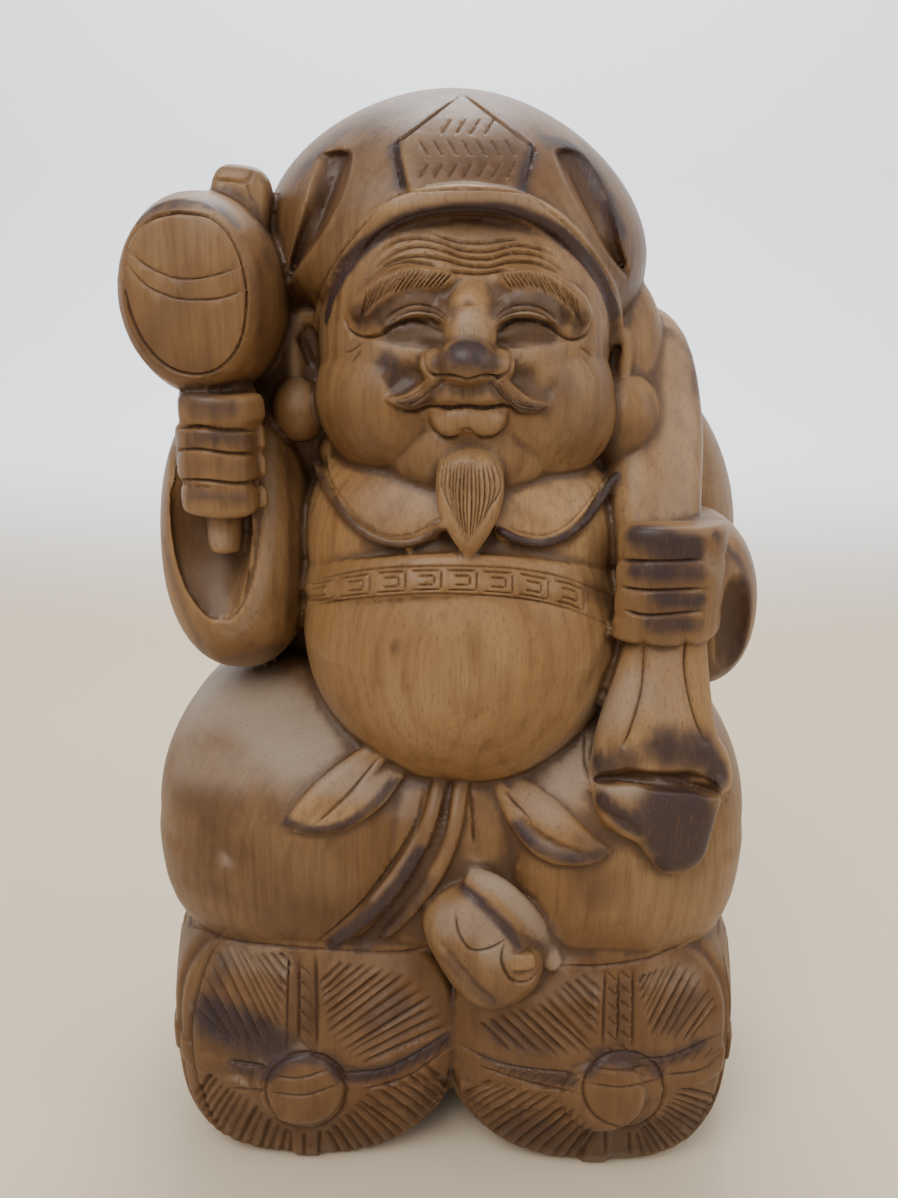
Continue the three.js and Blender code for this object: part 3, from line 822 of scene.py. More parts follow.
FACE_FORMS = {
    "right_brow": [
        (455, 279, 9, 5), (432, 279, 12, 8), (405, 281, 13, 9), (382, 292, 14, 9), (364, 308, 14, 8),
        (357, 320, 10, 5),
    ],
    "left_brow": [
        (498, 279, 9, 5), (520, 280, 12, 8), (545, 284, 13, 9), (566, 297, 14, 9), (579, 313, 14, 8),
        (584, 326, 10, 5),
    ],
    "right_lid": [
        (380, 322, 5, 3), (396, 309, 12, 7), (417, 302, 15, 8), (438, 308, 12, 7), (451, 323, 5, 3),
    ],
    "left_lid": [
        (492, 321, 5, 3), (505, 308, 12, 7), (525, 302, 15, 8), (545, 308, 12, 7), (561, 323, 5, 3),
    ],
    "right_lid_edge": [
        (381, 329, 2, 4), (396, 319, 3.5, 8), (416, 313, 4, 10), (437, 317, 3.5, 9), (450, 327, 2, 4),
    ],
    "left_lid_edge": [
        (492, 327, 2, 4), (506, 317, 3.5, 9), (526, 313, 4, 10), (546, 317, 3.5, 8), (562, 328, 2, 4),
    ],
    "right_eye": [(388, 335, 5, 2), (404, 332, 11, 4), (425, 333, 11, 4), (444, 340, 5, 2)],
    "left_eye": [(498, 338, 5, 2), (515, 333, 11, 4), (536, 332, 11, 4), (557, 336, 5, 2)],
    "right_moustache": [
        (437, 378, 9, 6), (429, 389, 11, 8), (415, 398, 10, 8), (400, 402, 7, 7), (386, 399, 3, 4),
    ],
    "left_moustache": [
        (494, 378, 9, 6), (504, 390, 11, 8), (518, 401, 10, 8), (533, 407, 7, 7), (549, 404, 3, 4),
    ],
    "upper_lip": [
        (433, 400, 6, 4), (449, 393, 13, 8), (467, 391, 15, 8), (485, 393, 13, 8), (503, 400, 6, 4),
    ],
    "lower_lip": [
        (433, 416, 7, 4), (448, 421, 15, 7), (467, 418, 13, 6), (488, 421, 15, 7), (505, 416, 7, 4),
    ],
}
CLOTH_FORMS = {
    "right_leaf_a": [(376, 754, 13, 5), (350, 776, 16, 6), (318, 801, 14, 6), (287, 825, 5, 4)],
    "right_leaf_b": [(390, 772, 14, 5), (367, 796, 17, 7), (335, 817, 14, 7), (294, 829, 5, 5)],
    "left_leaf_a": [
        (503, 792, 8, 5), (521, 822, 11, 7), (548, 849, 12, 7), (583, 857, 8, 6), (606, 854, 4, 4),
    ],
    "left_leaf_b": [(520, 790, 14, 5), (546, 814, 17, 6), (577, 837, 12, 6), (611, 853, 4, 4)],
    "hem_a": [(438, 790, 8, 5), (430, 822, 9, 7), (410, 861, 10, 8), (380, 900, 10, 8), (334, 942, 8, 5)],
    "hem_b": [
        (460, 792, 8, 5), (453, 824, 10, 7), (437, 862, 12, 7), (411, 900, 12, 6), (380, 936, 9, 4),
    ],
    "right_rim": [
        (316, 466, 4, 3), (333, 496, 4.5, 4), (357, 526, 4.5, 4), (384, 541, 4.5, 4), (410, 543, 4.5, 4),
        (432, 533, 4.5, 4), (447, 522, 4, 3),
    ],
    "left_rim": [
        (497, 529, 4, 3), (520, 540, 4.5, 4), (548, 543, 4.5, 4), (576, 529, 4.5, 4), (599, 501, 4.5, 4),
        (616, 474, 4, 3),
    ],
    "cuff": [
        (467, 876, 12, 6), (494, 893, 17, 7.5), (520, 917, 17, 8), (541, 944, 15, 7), (557, 968, 9, 6),
    ],
    "shoe_knob": [(520, 953, 14, 5), (521, 969, 14, 5)],
}
TUCKED = {
    "right_leaf_a": 14, "right_leaf_b": 14, "left_leaf_a": 12, "left_leaf_b": 14, "hem_a": 16,
    "hem_b": 16,
}
relief = [laid(name, stations) for name, stations in FACE_FORMS.items()]
relief += [laid(name, stations, square=2.6, blunt=6, sink=-1, tuck=TUCKED.get(name, 0))
           for name, stations in CLOTH_FORMS.items()]
remember(relief)
print("small forms laid on:", len(relief))

# %% [markdown]
# ## One block again
#
# The second remesh uses finer voxels, because it has to hold the small forms. It leaves tiny
# steps, which a short smoothing takes away. The block is then planed flat where it stands.

# %% Fuse and plane the block
FINE_VOXEL = 0.0021

block = fused("carved_figure", [core] + relief, FINE_VOXEL)
smooth = block.modifiers.new("smooth", "SMOOTH")
smooth.factor, smooth.iterations = 0.5, 4
bpy.ops.object.modifier_apply(modifier="smooth")
bpy.ops.object.mode_set(mode="EDIT")
bpy.ops.mesh.select_all(action="SELECT")
bpy.ops.mesh.bisect(plane_co=(0, 0, 0), plane_no=(0, 0, 1), clear_inner=True, use_fill=True)
bpy.ops.object.mode_set(mode="OBJECT")
print("planed:", len(block.data.vertices), "points", len(block.data.polygons), "faces")

# %% [markdown]
# ## How the chisel works
#
# A stroke is a line of pixels with a width in pixels and a depth in millimetres. Each step of it
# is cast onto the block, and the line is smoothed there. There are three kinds. A cut is a V
# gouge, which is also what hair, straw and the rougher lines of the back are cut with, and a
# hollow is a wide round scoop. A set-in line lowers only the ground on its right, so that what
# lies on its left stands proud, like a hem.

# %% Strokes
STEP, FEWEST, SMOOTHINGS = 0.9, 3, 4
END_TAPER, END_ROUND, BLUNT_END = 6, 0.6, 0.15
rng = np.random.default_rng(11)


class Strokes:
    """Samples of many strokes on the block, with each one's place, side, width and depth."""

    def __init__(self, skin):
        self.skin = skin
        self.rows = []

    def add(self, points, wide, deep, eye=photo, pointed=True):
        points = np.asarray(points, float)
        length = np.linalg.norm(np.diff(points, axis=0), axis=1).sum()
        places = np.linspace(0, 1, max(4, int(length / STEP)))
        line = along_curve(points, places)
        found = [(at, touch(self.skin, eye, *spot)) for at, spot in zip(places, line)]
        found = [(at, hit) for at, hit in found if hit]
        if len(found) < FEWEST:
            return
        spots = np.array([hit[0] for _, hit in found])
        ways = np.array([hit[1] for _, hit in found])
        units = np.array([hit[2] for _, hit in found])
        for _ in range(SMOOTHINGS):
            spots[1:-1] = (spots[:-2] + 2 * spots[1:-1] + spots[2:]) / 4
        run = np.gradient(spots, axis=0)
        run /= np.linalg.norm(run, axis=1)[:, None] + 1e-12
        sides = np.cross(ways, run)
        at = np.array([a for a, _ in found])
        ends = np.ones(len(at))
        if pointed:
            ends = np.clip(np.minimum(at, 1 - at) * END_TAPER, 0, 1) ** END_ROUND
            ends = BLUNT_END + (1 - BLUNT_END) * ends
        self.rows.append(np.column_stack([spots, sides, units * wide, deep * MM * ends]))

    def add_all(self, lines, **how):
        for points in lines:
            self.add(points, **how)

    def samples(self):
        return np.vstack(self.rows)


def fan(strokes, keys, count, wide, deep, eye=photo, shake=1.2):
    """Strokes that turn gradually from the first key stroke to the last."""
    keys = np.asarray(keys, float)
    for share in np.linspace(0, len(keys) - 1, count):
        i = min(int(share), len(keys) - 2)
        line = keys[i] + (keys[i + 1] - keys[i]) * (share - i)
        line = line + rng.normal(0, shake, line.shape)
        strokes.add(line, wide * rng.uniform(0.85, 1.15), deep * rng.uniform(0.8, 1.15), eye)


CELLS_A_SIDE = 10000
CELL_NUMBER = np.array([1, CELLS_A_SIDE, CELLS_A_SIDE ** 2])


def nearest(points, samples, reach):
    """For the points within reach of a sample: which points, their nearest sample, how far. Only
    points in a cell that holds a sample, or in one beside it, are looked up."""
    def cells(spots):
        return np.floor(spots / reach).astype(np.int64) + CELLS_A_SIDE // 2

    near = np.array([(i, j, k) for i in (-1, 0, 1) for j in (-1, 0, 1) for k in (-1, 0, 1)])
    held = (np.unique(cells(samples), axis=0)[:, None] + near).reshape(-1, 3)
    which = np.flatnonzero(np.isin(cells(points) @ CELL_NUMBER, np.unique(held @ CELL_NUMBER)))
    tree = KDTree(len(samples))
    for i, spot in enumerate(samples):
        tree.insert(spot, i)
    tree.balance()
    found = [tree.find(points[i]) for i in which]
    return which, np.array([f[1] for f in found]), np.array([f[2] for f in found])


REACH_MARGIN, SOFT_EDGE, FADE = 0.001, 0.0009, 1.5


def tooled(kind, points, strokes):
    """How far each point goes in, for strokes of one kind."""
    samples = strokes.samples()
    spots, sides, wide, deep = samples[:, :3], samples[:, 3:6], samples[:, 6], samples[:, 7]
    push = np.zeros(len(points))
    reach = wide.max() * (1 if kind == "set_in" else 0.5) + REACH_MARGIN
    which, mate, far = nearest(points, spots, reach)
    if kind == "set_in":
        across = np.einsum("ij,ij->i", points[which] - spots[mate], sides[mate])
        edge = np.clip(across / SOFT_EDGE / 2 + 0.5, 0, 1)
        push[which] = deep[mate] * eased(edge) * np.clip(1 - far / wide[mate], 0, 1) ** FADE
    else:
        share = np.clip(1 - far / (wide[mate] / 2), 0, 1)
        push[which] = deep[mate] * (share if kind == "cut" else eased(share))
    return push


block_skin = skin_of(block)
hollows, set_ins, cuts, hairs, straw, rough_cuts = (Strokes(block_skin) for _ in range(6))
print("a stroke is cast every", STEP, "pixels")

# %% [markdown]
# ## Straw on the bales
#
# The carver showed straw with short gouges that fan out from the bands: down and inwards above
# the level band, and down and outwards below it. Twist marks on the bands make them ropes. Each
# fan turns from one given stroke to the next, so a handful of them gives a whole patch of straw.

# %% Strokes on the bales
LEFT_STRAW = [
    (14, [
        [(279, 952), (289, 968)], [(255, 954), (286, 996)], [(241, 946), (283, 1022)],
        [(224, 943), (274, 1046)], [(207, 966), (250, 1052)], [(194, 1009), (220, 1037)],
    ]),
    (13, [
        [(320, 983), (344, 963)], [(323, 1008), (376, 966)], [(329, 1033), (405, 976)],
        [(345, 1050), (432, 998)], [(362, 1063), (446, 1024)],
    ]),
    (12, [
        [(212, 1074), (195, 1096)], [(228, 1088), (203, 1122)], [(246, 1095), (222, 1140)],
        [(266, 1114), (248, 1152)], [(288, 1130), (280, 1160)],
    ]),
    (14, [
        [(326, 1130), (342, 1158)], [(346, 1112), (378, 1150)], [(362, 1098), (410, 1134)],
        [(396, 1083), (440, 1112)], [(424, 1066), (452, 1088)],
    ]),
]
RIGHT_STRAW = [
    (13, [
        [(582, 975), (600, 995)], [(560, 986), (597, 1026)], [(537, 1004), (590, 1055)],
        [(508, 1010), (555, 1056)], [(479, 1024), (508, 1051)],
    ]),
    (12, [
        [(646, 975), (640, 985)], [(664, 966), (643, 1010)], [(684, 964), (650, 1034)],
        [(706, 982), (668, 1044)], [(720, 1006), (691, 1041)],
    ]),
    (14, [
        [(492, 1084), (458, 1096)], [(524, 1090), (468, 1122)], [(557, 1098), (490, 1142)],
        [(580, 1114), (536, 1154)], [(598, 1132), (578, 1160)],
    ]),
    (13, [
        [(635, 1132), (644, 1158)], [(646, 1122), (674, 1156)], [(658, 1114), (700, 1148)],
        [(668, 1102), (716, 1126)], [(678, 1090), (724, 1100)],
    ]),
]
for count, keys in LEFT_STRAW + RIGHT_STRAW:
    fan(straw, keys, count, wide=8.6, deep=3.2, shake=0.9)

BAND_LINES = [
    [(288, 955), (287, 1000), (286, 1052)], [(316, 955), (317, 1000), (317, 1052)],
    [(299, 960), (299, 1045)], [(290, 1130), (291, 1157)], [(320, 1130), (319, 1157)],
    [(304, 1133), (304, 1156)], [(606, 968), (604, 1010), (603, 1050)],
    [(633, 968), (633, 1010), (632, 1050)], [(619, 970), (618, 1048)], [(605, 1131), (606, 1154)],
    [(629, 1131), (630, 1154)], [(344, 1074), (392, 1067), (449, 1033)],
    [(362, 1091), (410, 1076), (451, 1046)], [(230, 1061), (268, 1067)], [(232, 1089), (268, 1091)],
    [(459, 1045), (504, 1065), (584, 1075)], [(479, 1067), (526, 1082), (578, 1094)],
    [(634, 1060), (673, 1056), (720, 1034)], [(664, 1076), (701, 1071), (722, 1054)],
]
cuts.add_all(BAND_LINES, wide=5, deep=2.2)

UPRIGHT_TWISTS = [
    ((300, 966), (13, 12), 4.5, 1.6), ((620, 970), (11, 10), 4.5, 1.6), ((607, 972), (10, 10), 4, 1.4),
]
LEVEL_TWISTS = [
    ((366, 1086), (12, -5.04), 7, (8, -15)), ((492, 1076), (13, 1.95), 7, (11, -9)),
    ((645, 1072), (12, -2.4), 6, (7, -12)),
]
END_TWISTS = [[(238, 1086), (242, 1068)], [(250, 1086), (254, 1068)], [(261, 1086), (265, 1068)]]
TWIST_ROWS = range(0, 80, 15)
for (x, y), (right, down), wide, deep in UPRIGHT_TWISTS:
    for lower in TWIST_ROWS:
        cuts.add([(x, y + lower), (x + right, y + lower + down)], wide, deep)
for (x, y), (along, lower), count, (right, down) in LEVEL_TWISTS:
    for step in range(count):
        start = (x + along * step, y + lower * step)
        cuts.add([start, (start[0] + right, start[1] + down)], wide=4, deep=1.2)
cuts.add_all(END_TWISTS, wide=4, deep=1.2)
BOSS_ARCS = [
    [(275, 1077), (300, 1079), (330, 1070)], [(270, 1093), (305, 1096), (342, 1084)],
    [(594, 1068), (618, 1071), (648, 1066)], [(588, 1084), (622, 1088), (660, 1080)],
]
cuts.add_all(BOSS_ARCS, wide=4.5, deep=1.8)
BOSSES, BOSS_RING = [(306, 1091), (624, 1090)], (41, 38)
for x, y in BOSSES:
    ring = [(x + BOSS_RING[0] * math.cos(a), y + BOSS_RING[1] * math.sin(a))
            for a in np.linspace(0, 2 * math.pi, 13)]
    cuts.add(ring, wide=6, deep=2.2, pointed=False)
LEDGES = [
    [(226, 926), (204, 969), (191, 1026), (196, 1076), (207, 1113), (222, 1134)],
    [(722, 950), (730, 1000), (727, 1050), (716, 1094), (696, 1132)],
]
cuts.add_all(LEDGES, wide=6, deep=2.0)
print("bale strokes:", len(cuts.rows))

# %% [markdown]
# ## Straw round the sides and the back
#
# The photograph shows only a sliver of the bales' sides. Plainer straw goes on there: lines along
# the roll, row over row, and a simple fan on the back ends. Loops draw them with a seeded random
# shake, because even rows would look printed.

# %% Strokes round the bales
STRAW_ROWS, STRAW_STARTS, STRAW_SHIFT, ALONG_A_STRAW = range(22, 205, 11), (-100, -28, 44), 24, (0, 30, 58)
BACK_FAN, BACK_FAN_TURN, BACK_FAN_Z, FAN_FROM, FAN_TO = 30, 0.05, 100, 44, 78
ROUGH = dict(wide=5.5, deep=2.2)
for eye in (his_left, his_right):
    for row, z in enumerate(STRAW_ROWS):
        for start in STRAW_STARTS:
            y = start + (row % 2) * STRAW_SHIFT + rng.uniform(-5, 5)
            rough_cuts.add([(y + along, z + rng.uniform(-2, 2)) for along in ALONG_A_STRAW],
                           eye=eye, **ROUGH)
for middle in (-BALE_X, BALE_X):
    for i in range(BACK_FAN):
        angle = 2 * math.pi * i / BACK_FAN + BACK_FAN_TURN
        c, s = math.cos(angle), math.sin(angle)
        ends = (FAN_FROM + rng.uniform(-4, 4), FAN_TO + rng.uniform(-6, 6))
        rough_cuts.add([(middle + c * end, BACK_FAN_Z + s * end) for end in ends], eye=behind, **ROUGH)
print("round the sides:", len(rough_cuts.rows))

# %% [markdown]
# ## The face
#
# The face is read from its lines: waves of wrinkles on the forehead, hair in the brows, the
# moustache and the beard, laughing eyes, and smile lines at their corners. The hair is fanned out
# between a few given strokes with a little shake, so that it looks cut by hand.

# %% Strokes on the face
WRINKLES = [
    [(432, 232), (452, 240), (478, 243), (505, 240), (520, 239)],
    [
        (366, 264), (390, 244), (415, 238), (440, 242), (462, 250), (490, 251), (515, 245), (540, 249),
        (556, 256),
    ],
    [
        (366, 277), (392, 254), (418, 246), (442, 250), (462, 257), (488, 259), (513, 253), (542, 257),
        (570, 276),
    ],
    [
        (360, 285), (388, 264), (415, 256), (442, 259), (464, 265), (488, 267), (512, 262), (545, 266),
        (580, 290),
    ],
    [
        (352, 294), (378, 272), (400, 262), (428, 264), (450, 271), (480, 274), (505, 270), (535, 268),
        (560, 279), (586, 302),
    ],
]
hairs.add_all(WRINKLES, wide=4.8, deep=2.1)
FACE_HAIR = {
    "right brow": (22, 3.6, 2.3, 0.5, [
        [(453, 273), (438, 289)], [(428, 268), (414, 289)], [(404, 268), (388, 296)],
        [(384, 277), (372, 308)], [(366, 291), (361, 320)],
    ]),
    "left brow": (22, 3.6, 2.3, 0.5, [
        [(500, 273), (511, 289)], [(524, 270), (535, 289)], [(546, 274), (558, 298)],
        [(562, 285), (572, 312)], [(577, 298), (580, 326)],
    ]),
    "right moustache": (6, 3.4, 1.8, 0.3, [
        [(446, 379), (414, 405), (397, 405)], [(438, 379), (414, 399), (394, 402)],
        [(431, 380), (410, 396), (388, 399)],
    ]),
    "left moustache": (6, 3.4, 1.8, 0.3, [
        [(490, 381), (515, 409), (536, 412)], [(497, 379), (518, 402), (540, 409)],
        [(503, 380), (522, 396), (545, 404)],
    ]),
    "beard": (15, 3.4, 2.3, 0.4, [
        [(443, 462), (441, 486), (452, 514)], [(456, 462), (454, 500), (461, 538)],
        [(468, 460), (467, 505), (468, 545)], [(481, 462), (483, 500), (476, 538)],
        [(496, 463), (501, 486), (487, 516)],
    ]),
    "right temple": (8, 2.2, 0.8, 0.3, [[(331, 301), (326, 318)], [(341, 318), (329, 334)]]),
    "left temple": (4, 2.2, 0.8, 0.3, [[(601, 296), (608, 308)], [(600, 306), (606, 320)]]),
}
for count, wide, deep, shake, keys in FACE_HAIR.values():
    fan(hairs, keys, count, wide, deep, shake=shake)
SMILE_LINES = [
    [(345, 353), (353, 350), (362, 343)], [(347, 367), (354, 359), (362, 350)],
    [(580, 347), (586, 351), (592, 357)], [(583, 357), (590, 366), (595, 379)],
]
hairs.add_all(SMILE_LINES, wide=3.2, deep=1.4)

EYE_LINES = [
    [(343, 318), (349, 330), (362, 337), (380, 335), (394, 326), (412, 320), (430, 324), (444, 333)],
    [(592, 322), (588, 334), (574, 340), (560, 334), (545, 324), (524, 319), (508, 323), (497, 332)],
]
cuts.add_all(EYE_LINES, wide=5, deep=2.4)
LID_FOLDS = [
    [(384, 320), (400, 309), (418, 305), (436, 309), (448, 319)],
    [(388, 325), (402, 315), (418, 311), (436, 315), (446, 322)],
    [(494, 319), (506, 309), (525, 305), (542, 309), (558, 320)],
    [(497, 322), (507, 315), (525, 311), (542, 315), (554, 325)],
]
hairs.add_all(LID_FOLDS, wide=3.4, deep=1.5)
LOWER_LIDS = [
    [(447, 342), (430, 347), (405, 347), (380, 342), (362, 338)],
    [(575, 341), (556, 343), (535, 347), (512, 348), (496, 341)],
]
set_ins.add_all(LOWER_LIDS, wide=13, deep=2.4)
UNDER_THE_NOSE = [
    (424, 352), (424, 366), (432, 375), (450, 376), (460, 378), (467, 380), (475, 378), (486, 376),
    (500, 377), (511, 369), (512, 353),
]
cuts.add(UNDER_THE_NOSE, wide=6, deep=3.5)
MOUTH = [
    (395, 409), (412, 412), (430, 407), (450, 408), (467, 406), (484, 408), (505, 406), (520, 414),
    (541, 414),
]
cuts.add(MOUTH, wide=5.5, deep=3.0)
LOWER_LIP = [
    (428, 411), (430, 425), (441, 436), (455, 437), (467, 429), (480, 437), (497, 435), (508, 424),
    (510, 411),
]
cuts.add(LOWER_LIP, wide=4.5, deep=2.0)
ABOVE_THE_LIP = [[(462, 384), (463, 402)], [(473, 384), (473, 402)]]
cuts.add_all(ABOVE_THE_LIP, wide=4, deep=1.0)
CHEEKS = [[(416, 368), (402, 378), (388, 388)], [(518, 370), (536, 384), (556, 394)]]
hollows.add_all(CHEEKS, wide=34, deep=3.0)
BETWEEN_THE_EYES = [(468, 296), (468, 306)]
hollows.add(BETWEEN_THE_EYES, wide=30, deep=2.5)
EAR_HOLLOWS = [[(300, 336), (306, 350), (312, 366)], [(618, 346), (614, 356), (611, 370)]]
hollows.add_all(EAR_HOLLOWS, wide=13, deep=4.0)
print("hair and wrinkles:", len(hairs.rows))

# %% [markdown]
# ## Cap, crest and mallet
#
# The brim has a rolled edge, and the crest stands in front of it with a cut rim and rows of small
# chisel ticks. The mallet's flat end has two arcs, like the ropes on a tied drum. All of them are
# thin lines, so they are cut as strokes, because a modelled form would be too coarse for them.

# %% Strokes on the cap and the mallet
CREST_EDGE = [(403, 189), (393, 146), (462, 93), (535, 149), (524, 189)]
for first, last in zip(CREST_EDGE, CREST_EDGE[1:]):
    middle = ((first[0] + last[0]) / 2, (first[1] + last[1]) / 2)
    cuts.add([first, middle, last], wide=4.5, deep=2.0)
CREST_ROWS = [(127, 446, 490), (148, 424, 512), (170, 424, 512)]
TICK_STEP, TICK_LEAN, TICK_HALF = 14.5, 5, 8
for row, (y, left, right) in enumerate(CREST_ROWS):
    lean = TICK_LEAN if row % 2 else -TICK_LEAN
    for x in np.arange(left, right, TICK_STEP):
        hairs.add([(x - lean, y - TICK_HALF), (x, y), (x + lean, y + TICK_HALF)], wide=3.6, deep=1.3)
BRIM_LINES = [
    [
        (312, 330), (318, 296), (333, 265), (352, 238), (375, 212), (398, 195), (430, 190), (465, 189),
        (500, 190), (527, 195), (552, 212), (580, 238), (604, 270), (622, 308),
    ],
    [
        (331, 304), (344, 276), (362, 252), (384, 231), (412, 217), (440, 211), (466, 209), (495, 211),
        (524, 221), (550, 235), (574, 254), (594, 280), (610, 312),
    ],
]
cuts.add_all(BRIM_LINES, wide=4.5, deep=1.6)
MALLET_RIM = [
    (178, 212), (210, 217), (232, 238), (244, 270), (247, 305), (241, 342), (222, 367), (196, 375),
    (166, 366), (142, 340), (127, 303), (122, 268), (132, 236), (152, 218), (178, 212),
]
cuts.add(MALLET_RIM, wide=5, deep=2.6, pointed=False)
MALLET_ARCS = [
    [(127, 250), (150, 268), (180, 279), (212, 276), (240, 267)],
    [(125, 263), (148, 287), (180, 299), (216, 299), (247, 290)],
]
cuts.add_all(MALLET_ARCS, wide=4, deep=1.5)
KNOB_EDGES = [[(254, 170), (247, 184), (253, 204)], [(212, 180), (230, 181), (247, 184)]]
cuts.add_all(KNOB_EDGES, wide=4.5, deep=1.3)
print("cuts so far:", len(cuts.rows))

# %% [markdown]
# ## Hands, sleeves, collar and belt
#
# The fingers are parted by deep cuts. The sleeve shows its lining, set in below the rim. The
# belt carries a plain key pattern, an old border of nested squares. Their corners are shares of
# the belt's height, so that the pattern follows its droop.

# %% Strokes on the body
HAND_CUTS = [
    [(177, 428), (200, 427), (225, 430), (262, 430)], [(176, 450), (200, 450), (230, 454), (258, 454)],
    [(176, 480), (205, 481), (235, 484), (258, 482)], [(621, 561), (660, 562), (706, 560)],
    [(621, 588), (650, 591), (709, 589)], [(624, 611), (650, 616), (706, 611)],
]
cuts.add_all(HAND_CUTS, wide=6, deep=3.0)
SLEEVE_LINING = [
    (262, 440), (264, 500), (259, 560), (250, 594), (236, 617), (222, 622), (205, 613), (186, 584),
    (175, 545), (171, 500), (171, 450),
]
set_ins.add(SLEEVE_LINING, wide=24, deep=3.2, pointed=False)
COLLAR_RIMS = [
    [(322, 466), (341, 497), (362, 521), (386, 534), (408, 535), (428, 526), (440, 518)],
    [(502, 522), (522, 532), (547, 535), (571, 522), (592, 497), (608, 472)],
]
cuts.add_all(COLLAR_RIMS, wide=4, deep=1.2)
BELT_TOP = [
    (300, 580), (340, 569), (380, 563), (430, 561), (470, 561), (520, 564), (570, 574), (618, 594),
]
BELT_LOW = [
    (300, 612), (340, 606), (380, 602), (430, 599), (470, 600), (520, 604), (570, 614), (618, 634),
]
BELT_MARGIN = 5
for line, margin in ((BELT_TOP, BELT_MARGIN), (BELT_LOW, -BELT_MARGIN)):
    hairs.add([(x, y + margin) for x, y in line], wide=3.6, deep=1.7)


def belt_height(x, share):
    """How far down the photograph a share of the belt's height is, at x."""
    top, low = (np.interp(x, *zip(*edge)) for edge in (BELT_TOP, BELT_LOW))
    return top + (low - top) * share


KEYS, FIRST_KEY, KEY_STEP, KEY_WIDE = 8, 303, 36, 30
NESTED = [(0, 0.24, 0.76), (7, 0.38, 0.62)]
for key in range(KEYS):
    left = FIRST_KEY + key * KEY_STEP
    for inset, high, low in NESTED:
        a, b = left + inset, left + KEY_WIDE - inset
        corners = np.array([(a, high), (b, high), (b, low), (a, low)])
        for first, last in zip(corners, corners[1:]):
            side = (first, (first + last) / 2, last)
            hairs.add([(x, belt_height(x, share)) for x, share in side], wide=3.6, deep=1.9)
print("keys on the belt:", KEYS, "of", len(NESTED), "squares each")

# %% [markdown]
# ## Cloth and sack
#
# Folds are long hollows with a cut at their root. The sash ends are leaves with a groove along
# the middle, and the mouth of the sack has a rolled lip.

# %% Strokes on the cloth
FOLD_CUTS = [
    [(424, 788), (417, 820), (397, 856), (368, 896), (342, 922), (316, 944)],
    [(471, 788), (473, 820), (474, 846)], [(380, 757), (352, 790), (312, 827)],
    [(505, 790), (517, 806), (530, 821)],
]
cuts.add_all(FOLD_CUTS, wide=5, deep=2.2)
BETWEEN_THE_HEMS = [(448, 800), (440, 838), (421, 876), (393, 914), (358, 944)]
hollows.add(BETWEEN_THE_HEMS, wide=20, deep=3.5)
HEM_LINES = [
    [(190, 925), (230, 940), (275, 946), (330, 950), (400, 952), (432, 946)],
    [(560, 966), (600, 966), (650, 958), (700, 935)],
]
cuts.add_all(HEM_LINES, wide=5, deep=2.0)
SOLE_EDGE = [(499, 1008), (477, 990), (457, 967), (438, 941)]
set_ins.add(SOLE_EDGE, wide=26, deep=3.0)
SHOE_LINES = [
    [(455, 910), (458, 932), (470, 950), (490, 949), (508, 939)],
    [(506, 940), (502, 962), (512, 981), (528, 982), (540, 970)],
]
cuts.add_all(SHOE_LINES, wide=5.5, deep=2.4)
SACK_FOLDS = [
    [(643, 640), (641, 690), (630, 730), (621, 748)], [(686, 640), (687, 675), (695, 712), (708, 744)],
]
cuts.add_all(SACK_FOLDS, wide=5, deep=2.2)
hollows.add_all(SACK_FOLDS, wide=22, deep=2.5)
BESIDE_THE_SACK = [(585, 733), (584, 758), (589, 786)]
cuts.add(BESIDE_THE_SACK, wide=5, deep=2.0)
TONGUE_FOLD = [(600, 812), (622, 822), (640, 834)]
hollows.add(TONGUE_FOLD, wide=14, deep=2.0)
print("hollows in front:", len(hollows.rows), "and set-in edges:", len(set_ins.rows))

# %% [markdown]
# ## The sides and the back
#
# Nobody sees the back when he stands on a shelf, so carvers finish it simply: folds that gather
# towards the neck of the sack, a few on the sleeves and trousers, and the seam of the robe.

# %% Strokes on the back
FOLD_CUT, FOLD_HOLLOW = dict(wide=6, deep=2.2), dict(wide=26, deep=3.0)
BACK_FOLDS = [
    [(60, 590), (90, 540), (130, 480), (160, 420)], [(90, 600), (120, 550), (160, 500), (190, 450)],
    [(40, 575), (50, 500), (70, 420), (100, 350)], [(10, 560), (0, 490), (0, 420), (20, 350)],
    [(-90, 560), (-110, 500), (-120, 430), (-110, 370)], [(-130, 520), (-150, 460), (-150, 400)],
    [(-60, 350), (-90, 290), (-130, 240)], [(-20, 330), (-20, 280), (-30, 220)],
    [(60, 330), (90, 280), (140, 240)], [(20, 320), (30, 270), (50, 215)],
]
TROUSER_FOLDS = [[(20, 340), (40, 300), (70, 260), (105, 235)], [(0, 300), (20, 260), (60, 220)]]
RIGHT_SLEEVE_FOLDS = [[(20, 560), (0, 500), (-10, 440), (-30, 390)], [(50, 540), (40, 480), (20, 420)]]
LEFT_SLEEVE_FOLDS = [[(10, 520), (0, 470), (-20, 420)]]
for eye, lines in ((behind, BACK_FOLDS), (his_right, RIGHT_SLEEVE_FOLDS + TROUSER_FOLDS),
                   (his_left, TROUSER_FOLDS + LEFT_SLEEVE_FOLDS)):
    rough_cuts.add_all(lines, eye=eye, **FOLD_CUT)
    hollows.add_all(lines, eye=eye, **FOLD_HOLLOW)
print("strokes:", {"hollow": len(hollows.rows), "set in": len(set_ins.rows), "cut": len(cuts.rows),
                   "hair": len(hairs.rows)})
